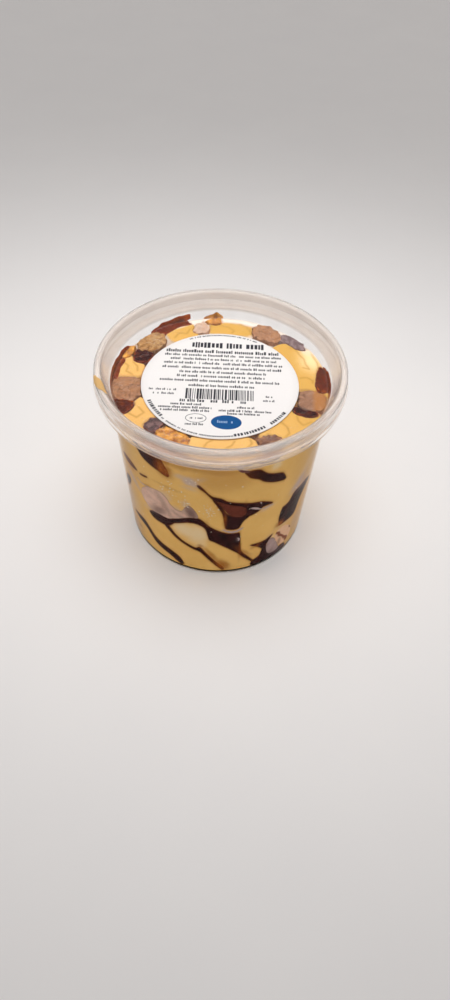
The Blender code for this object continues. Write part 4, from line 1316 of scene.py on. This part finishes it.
def speck(angle, height, size, rng):
    """Points and faces of one flat speck on the wall."""
    verts = []
    for i in range(6):
        turn = math.radians(60 * i + rng.uniform(-15, 15))
        reach = size * rng.uniform(0.6, 1.0)
        level = height + reach * math.sin(turn) * 0.8
        verts.append(frost_point(angle + reach * math.cos(turn) / WALL_DEGREE, level))
    verts += [frost_point(angle, height, lift) for lift in (0.05, -0.3)]
    return verts, [(i, (i + 1) % 6, 6) for i in range(6)] + [((i + 1) % 6, i, 7) for i in range(6)]


def make_frost(mat, veil):
    """Specks and thin streaks of frost between the food and the wall."""
    rng = random.Random(11)
    specks = []
    for centre, level, half_angle, half_height, count in FROST_CLUSTERS:
        for _ in range(count):
            angle = centre + half_angle * max(-1.4, min(1.4, rng.gauss(0, 0.6)))
            height = level + half_height * max(-1.4, min(1.4, rng.gauss(0, 0.6)))
            specks.append(speck(angle, height, rng.uniform(0.16, 0.55), rng))
    add_piece("frost_specks", *joined(specks), mat, "gelato", sharp=60)
    streaks = [ribbon(points, width, rng) for points, width in FROST_STREAKS]
    add_piece("frost_streaks", *joined(streaks), veil, "gelato", sharp=60)


def make_marks(mat):
    """Thin raised strokes moulded in the lid's floor, in a plain ring of arcs and waves."""
    parts = []
    for i in range(MARK_COUNT):
        centre = 360 / MARK_COUNT * i
        base = MARK_RADIUS + 1.3 * math.sin(i * 2.4)
        path = []
        for step in range(15):
            share = step / 14 - 0.5
            if i % 2:
                radius, angle = base + 1.6 * math.sin(math.tau * share), centre + 7 * share
            else:
                radius, angle = base + 2.2 * math.cos(math.pi * share) - 1, centre + 5 * share
            path.append(Vector(turned_point(radius, angle, LID_FLOOR + LID_WALL + 0.01)))
        parts.append(ridge(path))
    add_piece("lid_marks", *joined(parts), mat, "clear_plastic", sharp=70)


def ridge(path):
    """Points and faces of a low ridge on the lid's floor along a path of points."""
    section = [(-0.5, 0), (-0.32, 0.75), (0, 1), (0.32, 0.75), (0.5, 0)]
    verts = []
    for i, place in enumerate(path):
        ahead = (path[min(i + 1, len(path) - 1)] - path[max(i - 1, 0)]).normalized()
        side = Vector((-ahead.y, ahead.x, 0)) * MARK_WIDTH
        verts += [place + side * across + Vector((0, 0, up * MARK_HEIGHT)) for across, up in section]
    return verts, tube_faces(len(path), len(section))


def make_dab(mat):
    """A thin dab of gelato wiped over the rim and down the skirt at the left."""
    section = []
    for step in range(13):
        slope = math.radians(150 - 150 * step / 12)
        cos, sin = math.cos(slope), math.sin(slope)
        section.append((RIM_RADIUS + BEAD_RADIUS * cos, RIM_HEIGHT + BEAD_RADIUS * sin, cos, sin))
    section += [(SKIRT_RADIUS, height, 1.0, 0.0) for height in DAB_SKIRT]
    across, rows = 25, len(section)
    flat = np.array([(i * 0.4, j * 0.5, 0.0) for i in range(across) for j in range(rows)])
    rough = fbm(flat, 1.8, 61, 4)
    verts = []
    for lifted in (True, False):
        for i in range(across):
            for j, (radius, height, out, up) in enumerate(section):
                share = j / (rows - 1)
                bulge = DAB_BULGE * math.sin(math.pi * min(1.0, share + 0.12))
                half = DAB_HALF + bulge + rough[j] * 1.2
                angle = DAB_ANGLE + DAB_LEAN * share + half * (2 * i / (across - 1) - 1)
                within = 0 < i < across - 1 and 0 < j < rows - 1
                lift = (DAB_THICKNESS + 0.1 * rough[i * rows + j] if within else 0.0) if lifted else -0.1
                verts.append(turned_point(radius + out * lift, angle, height + up * lift))
    back = across * rows
    faces = []
    for a in (i * rows + j for i in range(across - 1) for j in range(rows - 1)):
        faces.append((a, a + 1, a + rows + 1, a + rows))
        faces.append((back + a, back + a + rows, back + a + rows + 1, back + a + 1))
    border = list(range(rows)) + [i * rows + rows - 1 for i in range(1, across)]
    border += [(across - 1) * rows + j for j in range(rows - 2, -1, -1)]
    border += [i * rows for i in range(across - 2, 0, -1)]
    faces += [(a, b, back + b, back + a) for a, b in zip(border, border[1:] + border[:1])]
    names = ("amber", "cream", "crease_shade", "dark_gap", "pale_gap", "under_lid", "tan", "frost")
    values = {name: np.zeros(len(verts)) for name in names}
    values["tan"] += 0.8
    values["frost"] += 0.2
    add_piece("rim_smear", verts, faces, mat, "gelato", values)


def make_floor():
    """A pale seamless floor that curves up far behind."""
    width, front, back, curve = 3600.0, -1500.0, 1900.0, 800.0
    profile = [(y, 0.0) for y in (front, -700.0, -300.0, 0.0, 300.0, 600.0, back - curve)]
    profile += [(back - curve + curve * math.sin(math.radians(a)), curve * (1 - math.cos(math.radians(a))))
                for a in range(10, 91, 10)]
    profile += [(back, 2600.0)]
    verts = [(side * width / 2, y, z) for y, z in profile for side in (-1, 1)]
    faces = [(2 * i, 2 * i + 1, 2 * i + 3, 2 * i + 2) for i in range(len(profile) - 1)]
    mesh = bpy.data.meshes.new("floor")
    mesh.from_pydata([tuple(MM * c for c in vert) for vert in verts], [], faces)
    mesh.shade_smooth()
    floor = placed("floor", mesh)
    mat, shader = new_material("floor", 0.85, 0.1)
    colour = blend(mat, texture(mat, 60.0, 2.0), (0.79, 0.77, 0.765), (0.82, 0.80, 0.79))
    set_inputs(mat, shader, {"Base Color": colour})
    mesh.materials.append(mat)


def make_lights():
    """One large softbox above and soft light all round."""
    lamp = bpy.data.lights.new("softbox", "AREA")
    lamp.shape = "RECTANGLE"
    lamp.size, lamp.size_y = LAMP_SIZE
    lamp.spread = math.radians(LAMP_SPREAD)
    lamp.energy = LAMP_POWER
    placed("softbox", lamp).location = (0.0, LAMP_SHIFT, LAMP_HEIGHT)
    world = bpy.data.worlds.new("soft_room")
    world.use_nodes = True
    background = world.node_tree.nodes["Background"]
    background.inputs["Color"].default_value = ROOM_COLOUR
    background.inputs["Strength"].default_value = ROOM_STRENGTH
    bpy.context.scene.world = world


def make_camera():
    """The photograph's view: from above the front, with a short lens."""
    data = bpy.data.cameras.new("camera")
    data.lens = CAMERA_LENS
    data.sensor_width = SENSOR_WIDTH
    data.clip_start = 0.01
    camera = placed("camera", data)
    tilt = Matrix.Rotation(math.radians(90 - CAMERA_PITCH), 4, "X")
    roll = Matrix.Rotation(math.radians(CAMERA_ROLL), 4, "Z")
    camera.matrix_world = Matrix.Translation(CAMERA_PLACE) @ tilt @ roll
    bpy.context.scene.camera = camera


def main():
    """Makes everything."""
    scene = bpy.context.scene
    scene.view_settings.view_transform = "Standard"
    make_camera()
    make_lights()
    make_floor()
    gelato = gelato_material()
    sauce = sauce_material("chocolate_sauce", (0.15, 0.04, 0.010), (0.46, 0.13, 0.016), (0.22, 0.045, 0.010))
    pool = sauce_material("chocolate_pool", (0.16, 0.026, 0.008), (0.46, 0.095, 0.012), (0.30, 0.035, 0.008))
    caramel = caramel_material()
    frost = frost_material("frost", (0.92, 0.78, 0.60), (1.0, 0.93, 0.74))
    veil = frost_material("frost_veil", (0.46, 0.33, 0.32), (0.68, 0.52, 0.48))
    nut = nut_material()
    browns = {look: brownie_material("brownie_" + look, *numbers) for look, numbers in BROWNIE_LOOKS.items()}
    plastics = {name: clear_plastic(name, *numbers) for name, numbers in PLASTICS.items()}
    make_tub([plastics[name] for name in ("wall_plastic", "rim_plastic", "foot_plastic")])
    make_lid([plastics[name] for name in ("lid_plastic", "rim_plastic")])
    make_marks(plastics["lid_plastic"])
    ripples = make_wall_sauce(sauce)

    def brown(name):
        """The crumb of a brownie."""
        return browns[BROWNIE_LOOK_OF.get(name, "crumb")]

    make_wall_chunks(WALL_BROWNIES, brown, "brownie")
    make_wall_chunks(WALL_NUTS, lambda name: nut, "nut")
    make_top_pieces(TOP_BROWNIES, CHUNK_DEPTH, 0.35, brown, "brownie", "chunk_")
    make_top_pieces(TOP_CARAMEL, CARAMEL_DEPTH, 0.4, lambda name: caramel, "caramel", "lump_")
    make_top_pieces(TOP_SAUCE, TOP_SAUCE_DEPTH, 0.2, lambda name: pool, "chocolate_sauce", "pool_")
    make_smears(pool, caramel)
    make_gelato(gelato, ripples)
    make_print(make_label(paper_material()))
    make_frost(frost, veil)
    make_dab(gelato)


main()
